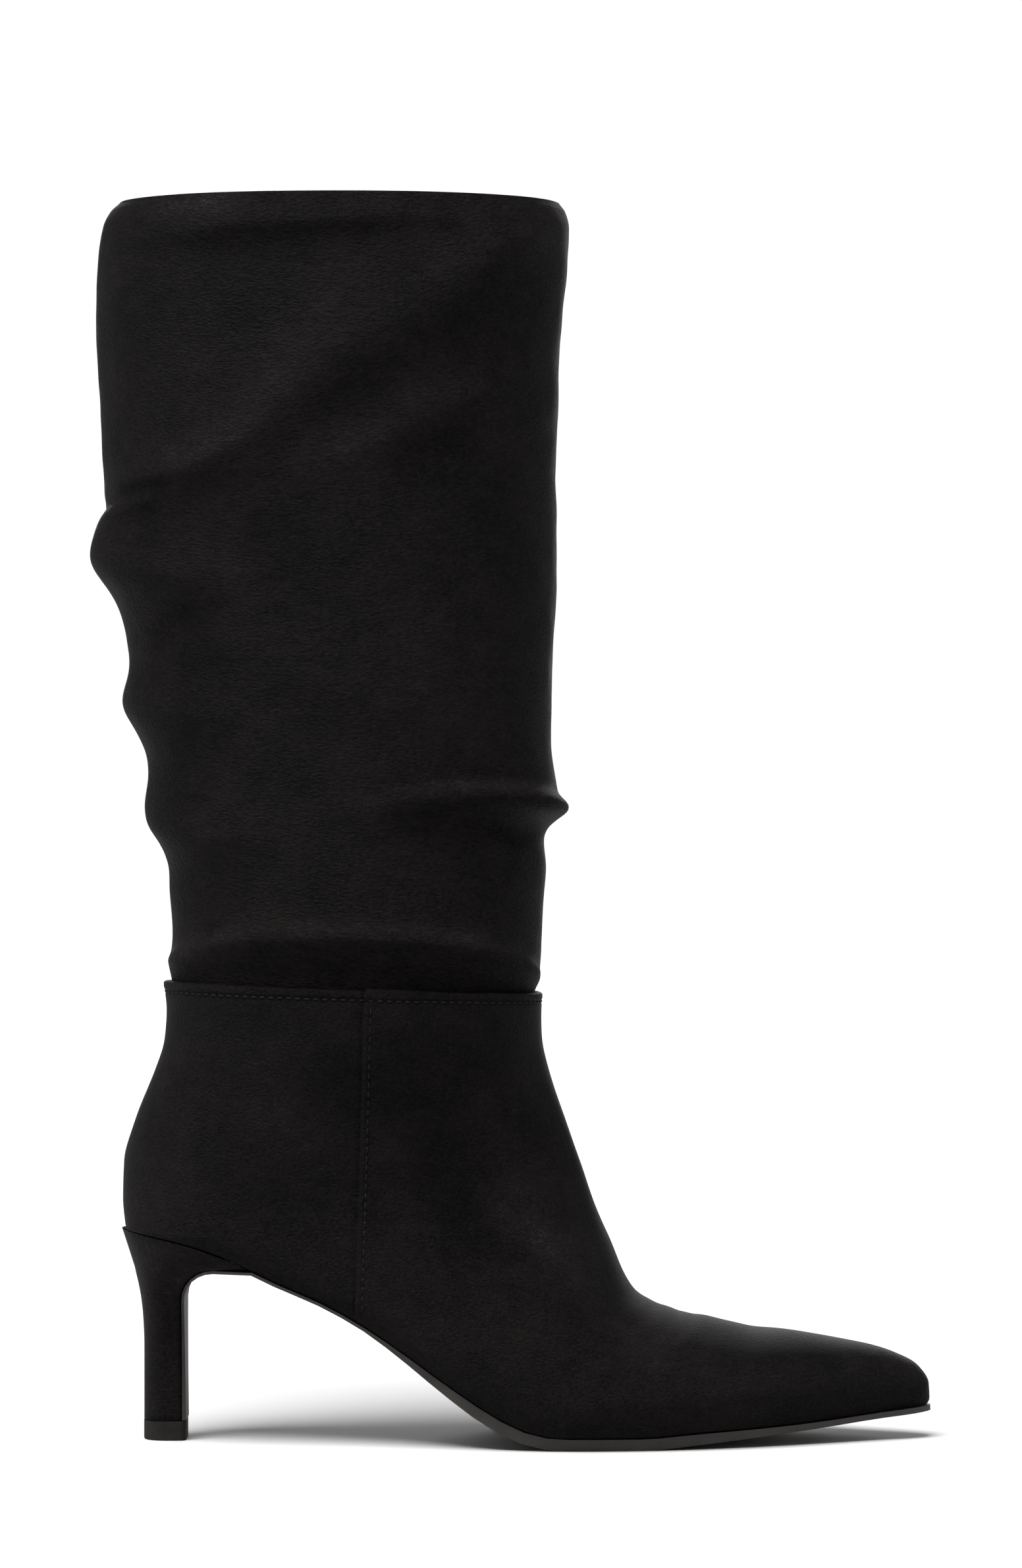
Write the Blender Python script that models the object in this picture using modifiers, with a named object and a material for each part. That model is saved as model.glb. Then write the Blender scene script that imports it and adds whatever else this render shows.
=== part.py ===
# Slouch boot for the right foot: a mid calf pull-on boot with a loose, folded
# shaft, a pointed toe and a slim covered heel. Metres, +Z up, +X to the toe,
# +Y to the inner side of the foot. The tables hold shares of the named sizes.

import math
from collections import namedtuple

import bmesh
import bpy
import numpy as np
from mathutils import Vector

# Sizes of the foot
FOOT_LENGTH = 0.2508
BALL_WIDTH = 0.0852
SOLE_WIDTH = 0.0768
SEAT_WIDTH = 0.0530
HEEL_HEIGHT = 0.0654
TOE_SPRING = 0.0084
VAMP_RISE = 0.0345
ANKLE_RISE = 0.0759
ANKLE_WIDTH = 0.0760

# Sizes of the shaft
BOOT_HEIGHT = 0.3818
SHAFT_DEPTH = 0.1440
SHAFT_WIDTH = 0.0900
SHAFT_TUCK = 0.0075
FOLD_DEPTH = 0.0050

# Sizes of the sole and the heel
SOLE_THICKNESS = 0.0037
TOE_ROUND = 0.0085
FEATHER_INSET = 0.0016
BREAST_RADIUS = 0.0100
HEEL_LENGTH = 0.0122
HEEL_SETBACK = 0.0069
HEEL_LIP = 0.0211
FLAP_THICKNESS = 0.0012
SOLE_BEVEL = 0.0006
TOP_PIECE_HEIGHT = 0.0060
INSOLE_THICKNESS = 0.0020

# Walls and clearances
UPPER_WALL = 0.0020
SHAFT_WALL = 0.0020
SEAM_STEP = 0.0007
SEAM_EDGE = 0.0006
SEAM_FADE = 0.0180
GAP = 0.0003
COLLAR_ROUND = 0.0060
SEAT_REVEAL = 0.0004

# Shares and turns used in the shapes
SEAM_TOP = 0.303
SEAM_FOOT = 0.291
SEAM_START = 0.060
SHAFT_CURVE = 2.05
FOLD_START = 0.03
FOLD_END = 0.05
GROOVE_DROP = 2.0
GROOVE_WIDTH = 0.8
LIP_SHARE = 0.59
FLAP_THINNING = 0.2
STEM_MIDDLE = 0.55
BREAST_CURVE = 0.30
BACK_CURVE = 0.90
INSOLE_TOE = 0.93
INSOLE_EASE = 0.09
SHARP_TURN = 38
BLEND_SPREAD = 2.5
BLEND_EDGE = 0.10
BLEND_PASSES = 6

# Mesh density
RING_ROWS = 12
SPAN_ROWS = 29
SHAFT_ROWS = 42
COLLAR_ROWS = 5
SECTION_SIDES = 28
HEEL_SIDES = 24
SOLE_SIDES = 4
BREAST_STEPS = 6

# Edge of the sole, seen from above. The halves are shares of the sole width,
# and of the seat width where seat is 1. centre is the swing to the big toe.
Outline = namedtuple("Outline", "along lateral medial centre seat")
OUTLINE = [
    Outline(0.00, 0.500, 0.500, 0.000, 1.0),
    Outline(0.11, 0.500, 0.500, 0.000, 1.0),
    Outline(0.20, 0.515, 0.500, 0.000, 1.0),
    Outline(0.30, 0.375, 0.325, 0.000, 0.0),
    Outline(0.37, 0.410, 0.350, 0.000, 0.0),
    Outline(0.43, 0.450, 0.395, 0.000, 0.0),
    Outline(0.50, 0.486, 0.452, 0.004, 0.0),
    Outline(0.57, 0.500, 0.490, 0.008, 0.0),
    Outline(0.63, 0.492, 0.500, 0.013, 0.0),
    Outline(0.69, 0.462, 0.480, 0.018, 0.0),
    Outline(0.76, 0.398, 0.420, 0.024, 0.0),
    Outline(0.83, 0.312, 0.330, 0.031, 0.0),
    Outline(0.89, 0.226, 0.238, 0.037, 0.0),
    Outline(0.94, 0.150, 0.156, 0.042, 0.0),
    Outline(1.00, 0.085, 0.088, 0.046, 0.0),
]

# Line where upper and sole part, seen from the side: lift is a share of the
# heel height, spring of the toe spring, thick of the sole thickness.
Profile = namedtuple("Profile", "along lift spring thick")
PROFILE = [
    Profile(0.000, 1.000, 0.00, 0.30),
    Profile(0.040, 0.975, 0.00, 0.30),
    Profile(0.080, 0.942, 0.00, 0.30),
    Profile(0.120, 0.893, 0.00, 0.30),
    Profile(0.160, 0.824, 0.00, 0.30),
    Profile(0.200, 0.750, 0.00, 0.30),
    Profile(0.245, 0.678, 0.00, 0.30),
    Profile(0.290, 0.584, 0.00, 0.30),
    Profile(0.340, 0.454, 0.00, 0.45),
    Profile(0.390, 0.305, 0.00, 0.70),
    Profile(0.425, 0.202, 0.00, 0.88),
    Profile(0.465, 0.094, 0.00, 1.00),
    Profile(0.505, 0.024, 0.00, 1.00),
    Profile(0.540, 0.000, 0.00, 1.00),
    Profile(0.640, 0.000, 0.00, 1.00),
    Profile(0.700, 0.000, 0.14, 0.95),
    Profile(0.780, 0.000, 0.36, 0.74),
    Profile(0.850, 0.000, 0.56, 0.58),
    Profile(0.920, 0.000, 0.78, 0.52),
    Profile(1.000, 0.000, 1.00, 0.52),
]

# Closed sections from the ankle edge down to the seat. The heights are shares
# of the ankle rise over the seat, the places along are shares of the length,
# and half is a share of the ankle width.
Ring = namedtuple("Ring", "back_x back_z front_x front_z half widest back_curve front_curve")
RINGS = [
    Ring(0.0515, 1.000, 0.5195, 0.952, 0.500, 0.50, 2.05, 2.05),
    Ring(0.0552, 0.890, 0.5182, 0.858, 0.490, 0.50, 2.05, 2.05),
    Ring(0.0523, 0.770, 0.5188, 0.766, 0.474, 0.49, 2.12, 2.03),
    Ring(0.0396, 0.630, 0.5252, 0.670, 0.452, 0.47, 2.20, 2.00),
    Ring(0.0170, 0.450, 0.5350, 0.560, 0.432, 0.44, 2.25, 2.02),
    Ring(0.0018, 0.270, 0.5465, 0.455, 0.420, 0.40, 2.30, 2.04),
    Ring(0.0006, 0.120, 0.5540, 0.380, 0.412, 0.37, 2.30, 2.06),
    Ring(0.0050, 0.000, 0.5600, 0.325, 0.404, 0.35, 2.30, 2.08),
]

# Open sections from the seat to the toe, each in a plane through its low point
# on the sole and its high point on the instep ridge. rise is a share of the
# vamp rise over the low point, the halves are shares of the ball width.
Span = namedtuple("Span", "low_x top_x rise lateral medial widest low_curve top_curve")
SPANS = [
    Span(0.0050, 0.5600, 0.710, 0.360, 0.360, 0.35, 2.30, 2.08),
    Span(0.0130, 0.5640, 0.650, 0.360, 0.358, 0.35, 2.25, 2.08),
    Span(0.0330, 0.5690, 0.590, 0.364, 0.358, 0.36, 2.20, 2.08),
    Span(0.0700, 0.5750, 0.530, 0.370, 0.360, 0.38, 2.15, 2.06),
    Span(0.1250, 0.5820, 0.500, 0.380, 0.366, 0.42, 2.10, 2.04),
    Span(0.1900, 0.5910, 0.495, 0.396, 0.376, 0.44, 2.10, 2.00),
    Span(0.2600, 0.6020, 0.515, 0.420, 0.392, 0.45, 2.10, 1.96),
    Span(0.3250, 0.6150, 0.580, 0.448, 0.415, 0.44, 2.15, 1.92),
    Span(0.3850, 0.6330, 0.700, 0.474, 0.443, 0.41, 2.20, 1.90),
    Span(0.4400, 0.6560, 0.850, 0.492, 0.470, 0.37, 2.25, 1.88),
    Span(0.4900, 0.6830, 0.950, 0.502, 0.490, 0.34, 2.30, 1.86),
    Span(0.5400, 0.7120, 0.980, 0.504, 0.503, 0.32, 2.30, 1.86),
    Span(0.6000, 0.7470, 0.935, 0.492, 0.504, 0.31, 2.30, 1.88),
    Span(0.6700, 0.7900, 0.865, 0.456, 0.474, 0.31, 2.30, 1.92),
    Span(0.7400, 0.8350, 0.795, 0.398, 0.414, 0.31, 2.30, 1.96),
    Span(0.8100, 0.8810, 0.715, 0.314, 0.326, 0.31, 2.30, 2.00),
    Span(0.8700, 0.9230, 0.618, 0.232, 0.238, 0.31, 2.30, 2.05),
    Span(0.9200, 0.9560, 0.508, 0.165, 0.166, 0.31, 2.30, 2.10),
    Span(0.9580, 0.9830, 0.378, 0.116, 0.115, 0.31, 2.25, 2.10),
    Span(0.9810, 0.9975, 0.200, 0.074, 0.074, 0.33, 2.15, 2.10),
    Span(0.9930, 0.9985, 0.060, 0.034, 0.034, 0.40, 2.00, 2.00),
    Span(0.9960, 0.9960, 0.000, 0.000, 0.000, 0.50, 2.00, 2.00),
]

# Sections of the slack shaft over the ankle edge: level is a share of the way
# from the edge to the collar, tilt lowers the front by a share of the ankle
# tilt, back and front are shares of the shaft depth, half of its width.
Level = namedtuple("Level", "level tilt back front half")
LEVELS = [
    Level(0.020, 1.00, 0.106, 0.896, 0.398),
    Level(0.070, 0.90, 0.108, 0.903, 0.410),
    Level(0.150, 0.70, 0.094, 0.912, 0.424),
    Level(0.215, 0.50, 0.078, 0.918, 0.434),
    Level(0.275, 0.30, 0.056, 0.922, 0.446),
    Level(0.395, 0.00, 0.022, 0.925, 0.462),
    Level(0.520, 0.00, -0.016, 0.935, 0.476),
    Level(0.620, 0.00, -0.034, 0.934, 0.486),
    Level(0.740, 0.00, -0.048, 0.937, 0.494),
    Level(0.850, 0.00, -0.055, 0.946, 0.500),
    Level(0.930, 0.00, -0.051, 0.960, 0.500),
    Level(0.970, 0.00, -0.041, 0.962, 0.490),
    Level(0.990, 0.00, -0.024, 0.954, 0.470),
    Level(1.000, 0.00, -0.006, 0.942, 0.458),
]

# Folds of the shaft. turn runs from the front over the outer side (90), the
# back (180) and the inner side (270). level is the height of the ridge at its
# turn as a share of the shaft, slope and bend its climb and curve for each right
# angle of turn, reach how far it runs to each side, above and below its half
# heights, depth its push outward as a share of the fold depth, and under the
# share of that taken off in the groove below it.
Fold = namedtuple("Fold", "turn level slope bend reach above below depth under")
FOLDS = [
    Fold(60, 0.880, -0.300, 0.00, 58, 0.050, 0.060, 0.55, 0.10),
    Fold(104, 0.752, -0.440, 0.00, 38, 0.045, 0.090, 0.60, 0.00),
    Fold(134, 0.644, -0.150, 0.00, 48, 0.045, 0.028, 0.74, 0.30),
    Fold(182, 0.549, 0.020, -0.02, 84, 0.048, 0.044, 1.22, 0.05),
    Fold(176, 0.362, 0.030, 0.02, 74, 0.032, 0.040, 0.85, 0.12),
    Fold(172, 0.214, 0.050, 0.02, 70, 0.042, 0.034, 0.80, 0.20),
    Fold(30, 0.248, 0.022, -0.077, 84, 0.026, 0.022, 1.12, 0.40),
    Fold(92, 0.075, 0.000, -0.058, 106, 0.018, 0.030, 0.80, 0.10),
    Fold(262, 0.760, 0.240, 0.00, 84, 0.044, 0.032, 0.80, 0.70),
    Fold(288, 0.500, -0.160, 0.00, 76, 0.040, 0.028, 0.70, 0.60),
    Fold(300, 0.255, 0.060, -0.05, 70, 0.026, 0.020, 0.75, 0.65),
    Fold(268, 0.075, -0.010, -0.05, 84, 0.020, 0.016, 0.60, 0.70),
]

# Sections of the heel under the seat: height is a share of the heel height,
# setback of the named setback from the counter, half of the seat width.
Stem = namedtuple("Stem", "height setback half")
STEMS = [
    Stem(0.000, 1.00, 0.158),
    Stem(0.300, 1.00, 0.170),
    Stem(0.450, 1.00, 0.186),
    Stem(0.580, 0.95, 0.210),
    Stem(0.670, 0.86, 0.246),
    Stem(0.740, 0.74, 0.298),
    Stem(0.790, 0.63, 0.352),
    Stem(0.830, 0.55, 0.400),
]


def column(rows, name):
    return np.array([getattr(row, name) for row in rows], dtype=float)


def follow(places, values, at):
    """Smooth curve through values at rising places, with no overshoot."""
    at = np.clip(np.asarray(at, dtype=float), places[0], places[-1])
    steps = np.diff(places)
    slopes = np.diff(values) / steps
    tangents = np.concatenate([slopes[:1], np.zeros(len(slopes) - 1), slopes[-1:]])
    rising = slopes[:-1] * slopes[1:] > 0
    before, after = slopes[:-1][rising], slopes[1:][rising]
    tangents[1:-1][rising] = 2 * before * after / (before + after)
    cell = np.clip(np.searchsorted(places, at, side="right") - 1, 0, len(steps) - 1)
    width = steps[cell]
    part = (at - places[cell]) / width
    ahead = 1 - part
    return (
        values[cell] * (1 + 2 * part) * ahead**2
        + tangents[cell] * width * part * ahead**2
        + values[cell + 1] * (3 - 2 * part) * part**2
        - tangents[cell + 1] * width * ahead * part**2
    )


def between(rows, count):
    """A table drawn out to count evenly spread rows, as arrays by name."""
    index = np.arange(len(rows), dtype=float)
    at = np.linspace(0, len(rows) - 1, count)
    return {name: follow(index, column(rows, name), at) for name in rows[0]._fields}


def sole_half(x, side):
    """Half width of the sole at x, on the lateral (-1) or medial (+1) side."""
    along = np.asarray(x, dtype=float) / FOOT_LENGTH
    places = column(OUTLINE, "along")
    seat = follow(places, column(OUTLINE, "seat"), along)
    name = "lateral" if side < 0 else "medial"
    width = SOLE_WIDTH + (SEAT_WIDTH - SOLE_WIDTH) * seat
    half = follow(places, column(OUTLINE, name), along) * width
    seat_round = SEAT_WIDTH / 2
    back = np.clip(1 - np.asarray(x) / seat_round, 0, 1)
    front = np.clip(1 - (FOOT_LENGTH - np.asarray(x)) / TOE_ROUND, 0, 1)
    return half * np.sqrt(1 - back**2) * np.sqrt(1 - front**2)


def sole_centre(x):
    along = np.asarray(x, dtype=float) / FOOT_LENGTH
    return follow(column(OUTLINE, "along"), column(OUTLINE, "centre"), along) * SOLE_WIDTH


def sole_thickness(x):
    along = np.asarray(x, dtype=float) / FOOT_LENGTH
    return follow(column(PROFILE, "along"), column(PROFILE, "thick"), along) * SOLE_THICKNESS


def parting_z(x):
    """Height of the line where upper and sole part, at x."""
    along = np.asarray(x, dtype=float) / FOOT_LENGTH
    places = column(PROFILE, "along")
    lift = follow(places, column(PROFILE, "lift"), along)
    spring = follow(places, column(PROFILE, "spring"), along)
    return lift * HEEL_HEIGHT + spring * TOE_SPRING + (1 - lift) * sole_thickness(x)


def half_section(reach, start, half, widest, low_curve, top_curve, count):
    """Evenly spaced points (up, out) of half a section, from low to high."""
    quarter = np.linspace(0, math.pi / 2, 40)
    low_out = start + (half - start) * np.sin(quarter) ** (2 / low_curve)
    low_up = widest * (1 - np.cos(quarter) ** (2 / low_curve))
    top_out = half * np.cos(quarter) ** (2 / top_curve)
    top_up = widest + (1 - widest) * np.sin(quarter) ** (2 / top_curve)
    up = np.concatenate([low_up, top_up[1:]])
    out = np.concatenate([low_out, top_out[1:]])
    lengths = np.hypot(np.diff(up) * reach, np.diff(out))
    travelled = np.concatenate([[0], np.cumsum(lengths)])
    even = np.linspace(0, travelled[-1], count + 1)
    return np.interp(even, travelled, up), np.interp(even, travelled, out)


def section(low, top, halves, starts, centres, widest, low_curve, top_curve, sides):
    """Points around a section, from its low point over the top, -Y side first."""
    reach = math.dist(low, top)
    points = []
    for side in (0, 1):
        up, out = half_section(
            reach, starts[side], halves[side], widest, low_curve, top_curve, sides // 2
        )
        sign = -1 if side == 0 else 1
        x = low[0] + (top[0] - low[0]) * up
        z = low[1] + (top[1] - low[1]) * up
        y = centres[0] + (centres[1] - centres[0]) * up + sign * out
        half = np.stack([x, y, z], axis=1)
        points.append(half if side == 0 else half[::-1][1:])
    return np.concatenate(points)


def ring_section(rings, row, inset, sides):
    """A closed section of the ankle, drawn in by inset."""
    back = (
        rings["back_x"][row] * FOOT_LENGTH + inset,
        HEEL_HEIGHT + rings["back_z"][row] * ANKLE_RISE + GAP / 2,
    )
    front = (
        rings["front_x"][row] * FOOT_LENGTH - inset,
        HEEL_HEIGHT + rings["front_z"][row] * ANKLE_RISE + GAP / 2,
    )
    half = rings["half"][row] * ANKLE_WIDTH - inset
    return section(
        back, front, (half, half), (0, 0), (0, 0), rings["widest"][row],
        rings["back_curve"][row], rings["front_curve"][row], sides,
    )


def blend_rows(grid, middle):
    """Evens the rows of a grid round its middle row, away from the lower edge."""
    rows, columns = grid.shape[:2]
    near = np.exp(-(((np.arange(rows) - middle) / BLEND_SPREAD) ** 2))
    edge = np.minimum(np.arange(columns), columns - 1 - np.arange(columns))
    inward = np.clip(edge / (columns * BLEND_EDGE), 0, 1)
    share = (near[:, None] * inward[None, :])[..., None]
    for _ in range(BLEND_PASSES):
        even = grid.copy()
        even[1:-1] = (grid[:-2] + 2 * grid[1:-1] + grid[2:]) / 4
        grid = grid + (even - grid) * share
    return grid


def upper_grid(ring_rows, span_rows, sides):
    """Outer face of the upper, a row of points for each section."""
    rings = between(RINGS, ring_rows)
    rows = [ring_section(rings, row, 0, sides) for row in range(len(rings["half"]))]
    spans = between(SPANS, span_rows)
    for row in range(1, len(spans["rise"])):
        low_x = spans["low_x"][row] * FOOT_LENGTH
        top_x = spans["top_x"][row] * FOOT_LENGTH
        low_z = parting_z(low_x) + GAP / 2
        top_z = low_z + spans["rise"][row] * VAMP_RISE
        centres = (sole_centre(low_x), sole_centre(top_x))
        halves = (spans["lateral"][row] * BALL_WIDTH, spans["medial"][row] * BALL_WIDTH)
        starts = []
        for side in (-1, 1):
            start = sole_half(low_x, side) - FEATHER_INSET
            starts.append(min(max(start, 0), halves[0 if side < 0 else 1]))
        rows.append(
            section(
                (low_x, low_z), (top_x, top_z), halves, starts, centres,
                spans["widest"][row], spans["low_curve"][row], spans["top_curve"][row], sides,
            )
        )
    return blend_rows(np.stack(rows), ring_rows)


def fold_push(turn, level):
    """How far the folds push the shaft outward, at a turn and a level."""
    push = np.zeros_like(turn)
    for fold in FOLDS:
        away = (turn - fold.turn + 180) % 360 - 180
        near = np.clip(1 - (away / fold.reach) ** 2, 0, 1) ** 1.5
        off = level - fold.level - fold.slope * away / 90 - fold.bend * (away / 90) ** 2
        ridge = np.exp(-((off / np.where(off > 0, fold.above, fold.below)) ** 2))
        trough = (off + fold.below * GROOVE_DROP) / (fold.below * GROOVE_WIDTH)
        groove = fold.under * np.exp(-(trough**2))
        push += fold.depth * FOLD_DEPTH * near * (ridge - groove)
    return push


def shaft_grid(count, sides):
    """Outer face of the shaft, tucked inside the ankle edge at its lower end."""
    rings = between(RINGS, 64)
    edge_z = HEEL_HEIGHT + ANKLE_RISE
    tilt = (RINGS[0].back_z - RINGS[0].front_z) * ANKLE_RISE
    drop = HEEL_HEIGHT + rings["back_z"] * ANKLE_RISE
    tuck_row = int(np.argmin(np.abs(drop - (edge_z - SHAFT_TUCK))))
    inset = UPPER_WALL + 2 * GAP
    heights, backs, fronts, halves, tilts = [], [], [], [], []
    for row in (tuck_row, 0):
        heights.append(HEEL_HEIGHT + rings["back_z"][row] * ANKLE_RISE)
        backs.append(rings["back_x"][row] * FOOT_LENGTH + inset)
        fronts.append(rings["front_x"][row] * FOOT_LENGTH - inset)
        halves.append(rings["half"][row] * ANKLE_WIDTH - inset)
        tilts.append((rings["back_z"][row] - rings["front_z"][row]) * ANKLE_RISE)
    for level in LEVELS:
        heights.append(edge_z + level.level * (BOOT_HEIGHT - edge_z))
        backs.append(level.back * SHAFT_DEPTH)
        fronts.append(level.front * SHAFT_DEPTH)
        halves.append(level.half * SHAFT_WIDTH)
        tilts.append(level.tilt * tilt)
    places = np.array(heights)
    even = np.linspace(places[0], BOOT_HEIGHT - COLLAR_ROUND, count - COLLAR_ROWS)
    turns = np.linspace(0, math.pi / 2, COLLAR_ROWS + 1)[1:]
    crown = BOOT_HEIGHT - COLLAR_ROUND * np.cos(turns)
    at = np.concatenate([even, crown])
    back = follow(places, np.array(backs), at)
    front = follow(places, np.array(fronts), at)
    half = follow(places, np.array(halves), at)
    tilt_here = follow(places, np.array(tilts), at)
    rows = []
    for row in range(count):
        points = section(
            (back[row], at[row]), (front[row], at[row] - tilt_here[row]),
            (half[row], half[row]), (0, 0), (0, 0), 0.5, SHAFT_CURVE, SHAFT_CURVE, sides,
        )[:-1]
        middle = (back[row] + front[row]) / 2
        deep = (front[row] - back[row]) / 2
        turn = np.degrees(np.arctan2(-points[:, 1] / half[row], (points[:, 0] - middle) / deep))
        level = np.full(len(points), (at[row] - edge_z) / (BOOT_HEIGHT - edge_z))
        fade = np.clip(level[0] / FOLD_START, 0, 1) * np.clip((1 - level[0]) / FOLD_END, 0, 1)
        outward = np.stack(
            [(points[:, 0] - middle) / deep**2, points[:, 1] / half[row] ** 2], axis=1
        )
        outward /= np.linalg.norm(outward, axis=1)[:, None]
        points[:, :2] += outward * (fold_push(turn % 360, level) * fade)[:, None]
        rows.append(points)
    return np.stack(rows)


def lip_x():
    """Where the sole sheet leaves the upper to turn down the heel."""
    return HEEL_SETBACK + HEEL_LENGTH + BREAST_RADIUS + HEEL_LIP * LIP_SHARE


def lip_z():
    return float(parting_z(lip_x())) - GAP / 2


def breast_turn(spread, count):
    """Places (x, z) on the quarter turn from under the seat down the breast,
    spread outward from the back of the sole sheet."""
    radius = BREAST_RADIUS + spread
    middle_x = HEEL_SETBACK + HEEL_LENGTH + BREAST_RADIUS
    middle_z = lip_z() - BREAST_RADIUS
    angles = np.linspace(0, math.pi / 2, count + 1)
    return [
        (middle_x - radius * math.sin(angle), middle_z + radius * math.cos(angle), angle)
        for angle in angles
    ]


def stem_half(z):
    """Half width of the heel at height z."""
    places = column(STEMS, "height") * HEEL_HEIGHT
    return float(follow(places, column(STEMS, "half"), z)) * SEAT_WIDTH


def clean_mesh(name, grid_faces, points):
    mesh = bpy.data.meshes.new(name)
    mesh.from_pydata([tuple(point) for point in points], [], grid_faces)
    shape = bmesh.new()
    shape.from_mesh(mesh)
    bmesh.ops.remove_doubles(shape, verts=shape.verts, dist=1e-6)
    shape.normal_update()
    return mesh, shape


def sheet_faces(rows, sides, closed):
    """Faces of a grid of rows, closed around or open at both edges."""
    faces = []
    span = sides if closed else sides - 1
    for row in range(rows - 1):
        for side in range(span):
            here = row * sides + side
            beside = row * sides + (side + 1) % sides
            faces.append((here, beside, beside + sides, here + sides))
    return faces


def finish_mesh(mesh, shape):
    shape.to_mesh(mesh)
    shape.free()
    mesh.shade_smooth()
    mesh.set_sharp_from_angle(angle=math.radians(SHARP_TURN))
    return mesh


def add_object(name, mesh, material, collection, frame):
    piece = bpy.data.objects.new(name, mesh)
    mesh.materials.append(material)
    collection.objects.link(piece)
    piece.parent = frame
    return piece


def thicken(piece, wall):
    shell = piece.modifiers.new("wall", "SOLIDIFY")
    shell.thickness = wall
    shell.offset = -1
    shell.use_quality_normals = True
    return shell


def trim_flush(piece):
    """Applies the wall and lays the upper's lower edge flush over the sole."""
    bpy.context.view_layer.update()
    solid = piece.evaluated_get(bpy.context.evaluated_depsgraph_get())
    mesh = bpy.data.meshes.new_from_object(solid)
    for vert in mesh.vertices:
        vert.co.z = max(vert.co.z, float(parting_z(vert.co.x)) + GAP / 2)
    mesh.name = piece.name
    piece.modifiers.clear()
    piece.data = mesh


def make_material(name, color, roughness):
    material = bpy.data.materials.new(name)
    material.use_nodes = True
    surface = material.node_tree.nodes["Principled BSDF"]
    surface.inputs["Base Color"].default_value = (*color, 1)
    surface.inputs["Roughness"].default_value = roughness
    surface.inputs["Metallic"].default_value = 0
    return material


def raise_vamp(shape):
    """Step in the upper where the vamp laps over the quarter, at both sides."""
    top = Vector((SEAM_TOP * FOOT_LENGTH, 0, HEEL_HEIGHT + ANKLE_RISE))
    foot = Vector((SEAM_FOOT * FOOT_LENGTH, 0, float(parting_z(SEAM_FOOT * FOOT_LENGTH))))
    run = top - foot
    normal = Vector((run.z, 0, -run.x)).normalized()
    for vert in shape.verts:
        away = (vert.co - foot).dot(normal)
        if abs(away) < SEAM_EDGE * 2.5:
            vert.co -= normal * away
    for shift in (0, SEAM_EDGE):
        geometry = list(shape.verts) + list(shape.edges) + list(shape.faces)
        bmesh.ops.bisect_plane(
            shape, geom=geometry, plane_co=foot + normal * shift, plane_no=normal, dist=1e-6
        )
    shape.normal_update()
    pushes = []
    for vert in shape.verts:
        away = (vert.co - foot).dot(normal) - SEAM_EDGE
        if away > -1e-6:
            over = vert.co.z - float(parting_z(vert.co.x)) - GAP
            share = math.exp(-((away / SEAM_FADE) ** 2)) * min(max(over / (SEAM_START * HEEL_HEIGHT), 0), 1)
            pushes.append((vert, vert.normal * (SEAM_STEP * share)))
    for vert, push in pushes:
        vert.co += push


def make_upper(material, collection, frame):
    grid = upper_grid(RING_ROWS, SPAN_ROWS, SECTION_SIDES)
    rows, sides = grid.shape[:2]
    mesh, shape = clean_mesh("upper", sheet_faces(rows, sides, False), grid.reshape(-1, 3))
    bmesh.ops.reverse_faces(shape, faces=shape.faces)
    raise_vamp(shape)
    piece = add_object("upper", finish_mesh(mesh, shape), material, collection, frame)
    thicken(piece, UPPER_WALL)
    trim_flush(piece)
    return piece


def make_shaft(material, collection, frame):
    grid = shaft_grid(SHAFT_ROWS, SECTION_SIDES)
    rows, sides = grid.shape[:2]
    mesh, shape = clean_mesh("shaft", sheet_faces(rows, sides, True), grid.reshape(-1, 3))
    piece = add_object("shaft", finish_mesh(mesh, shape), material, collection, frame)
    thicken(piece, SHAFT_WALL)
    return piece


def sole_strip():
    """Rows of the sole sheet from toe to flap: upper point, direction through
    the sheet, thickness, half widths and centre."""
    toe_start = FOOT_LENGTH - TOE_ROUND
    places = [toe_start + TOE_ROUND * math.cos(math.radians(turn)) for turn in (12, 30, 50, 70)]
    places += list(np.linspace(toe_start, lip_x(), 30))
    strip = []
    for x in places:
        slope = float(parting_z(x + GAP) - parting_z(x - GAP)) / (2 * GAP)
        down = Vector((slope, 0, -1)).normalized()
        low = Vector((x, 0, float(parting_z(x)) - GAP / 2))
        halves = (float(sole_half(x, -1)), float(sole_half(x, 1)))
        thick = float(sole_thickness(x)) - GAP / 2
        strip.append((low, down, thick, halves, float(sole_centre(x))))
    waist_thick, waist_halves = strip[-1][2], strip[-1][3]
    for x, z, angle in breast_turn(0, BREAST_STEPS):
        down = Vector((math.sin(angle), 0, -math.cos(angle)))
        half = min(stem_half(z), waist_halves[0])
        thick = waist_thick * (1 - FLAP_THINNING * angle / (math.pi / 2))
        strip.append((Vector((x, 0, z)), down, thick, (half, half), 0))
    turned, thick = strip[-1][0], strip[-1][2]
    foot = Vector((turned.x, 0, TOP_PIECE_HEIGHT + GAP))
    for share in (0.2, 0.45, 0.7, 1):
        low = turned.lerp(foot, share)
        half = stem_half(low.z)
        here = thick + (FLAP_THICKNESS - thick) * share
        strip.append((low, Vector((1, 0, 0)), here, (half, half), 0))
    return strip


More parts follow.
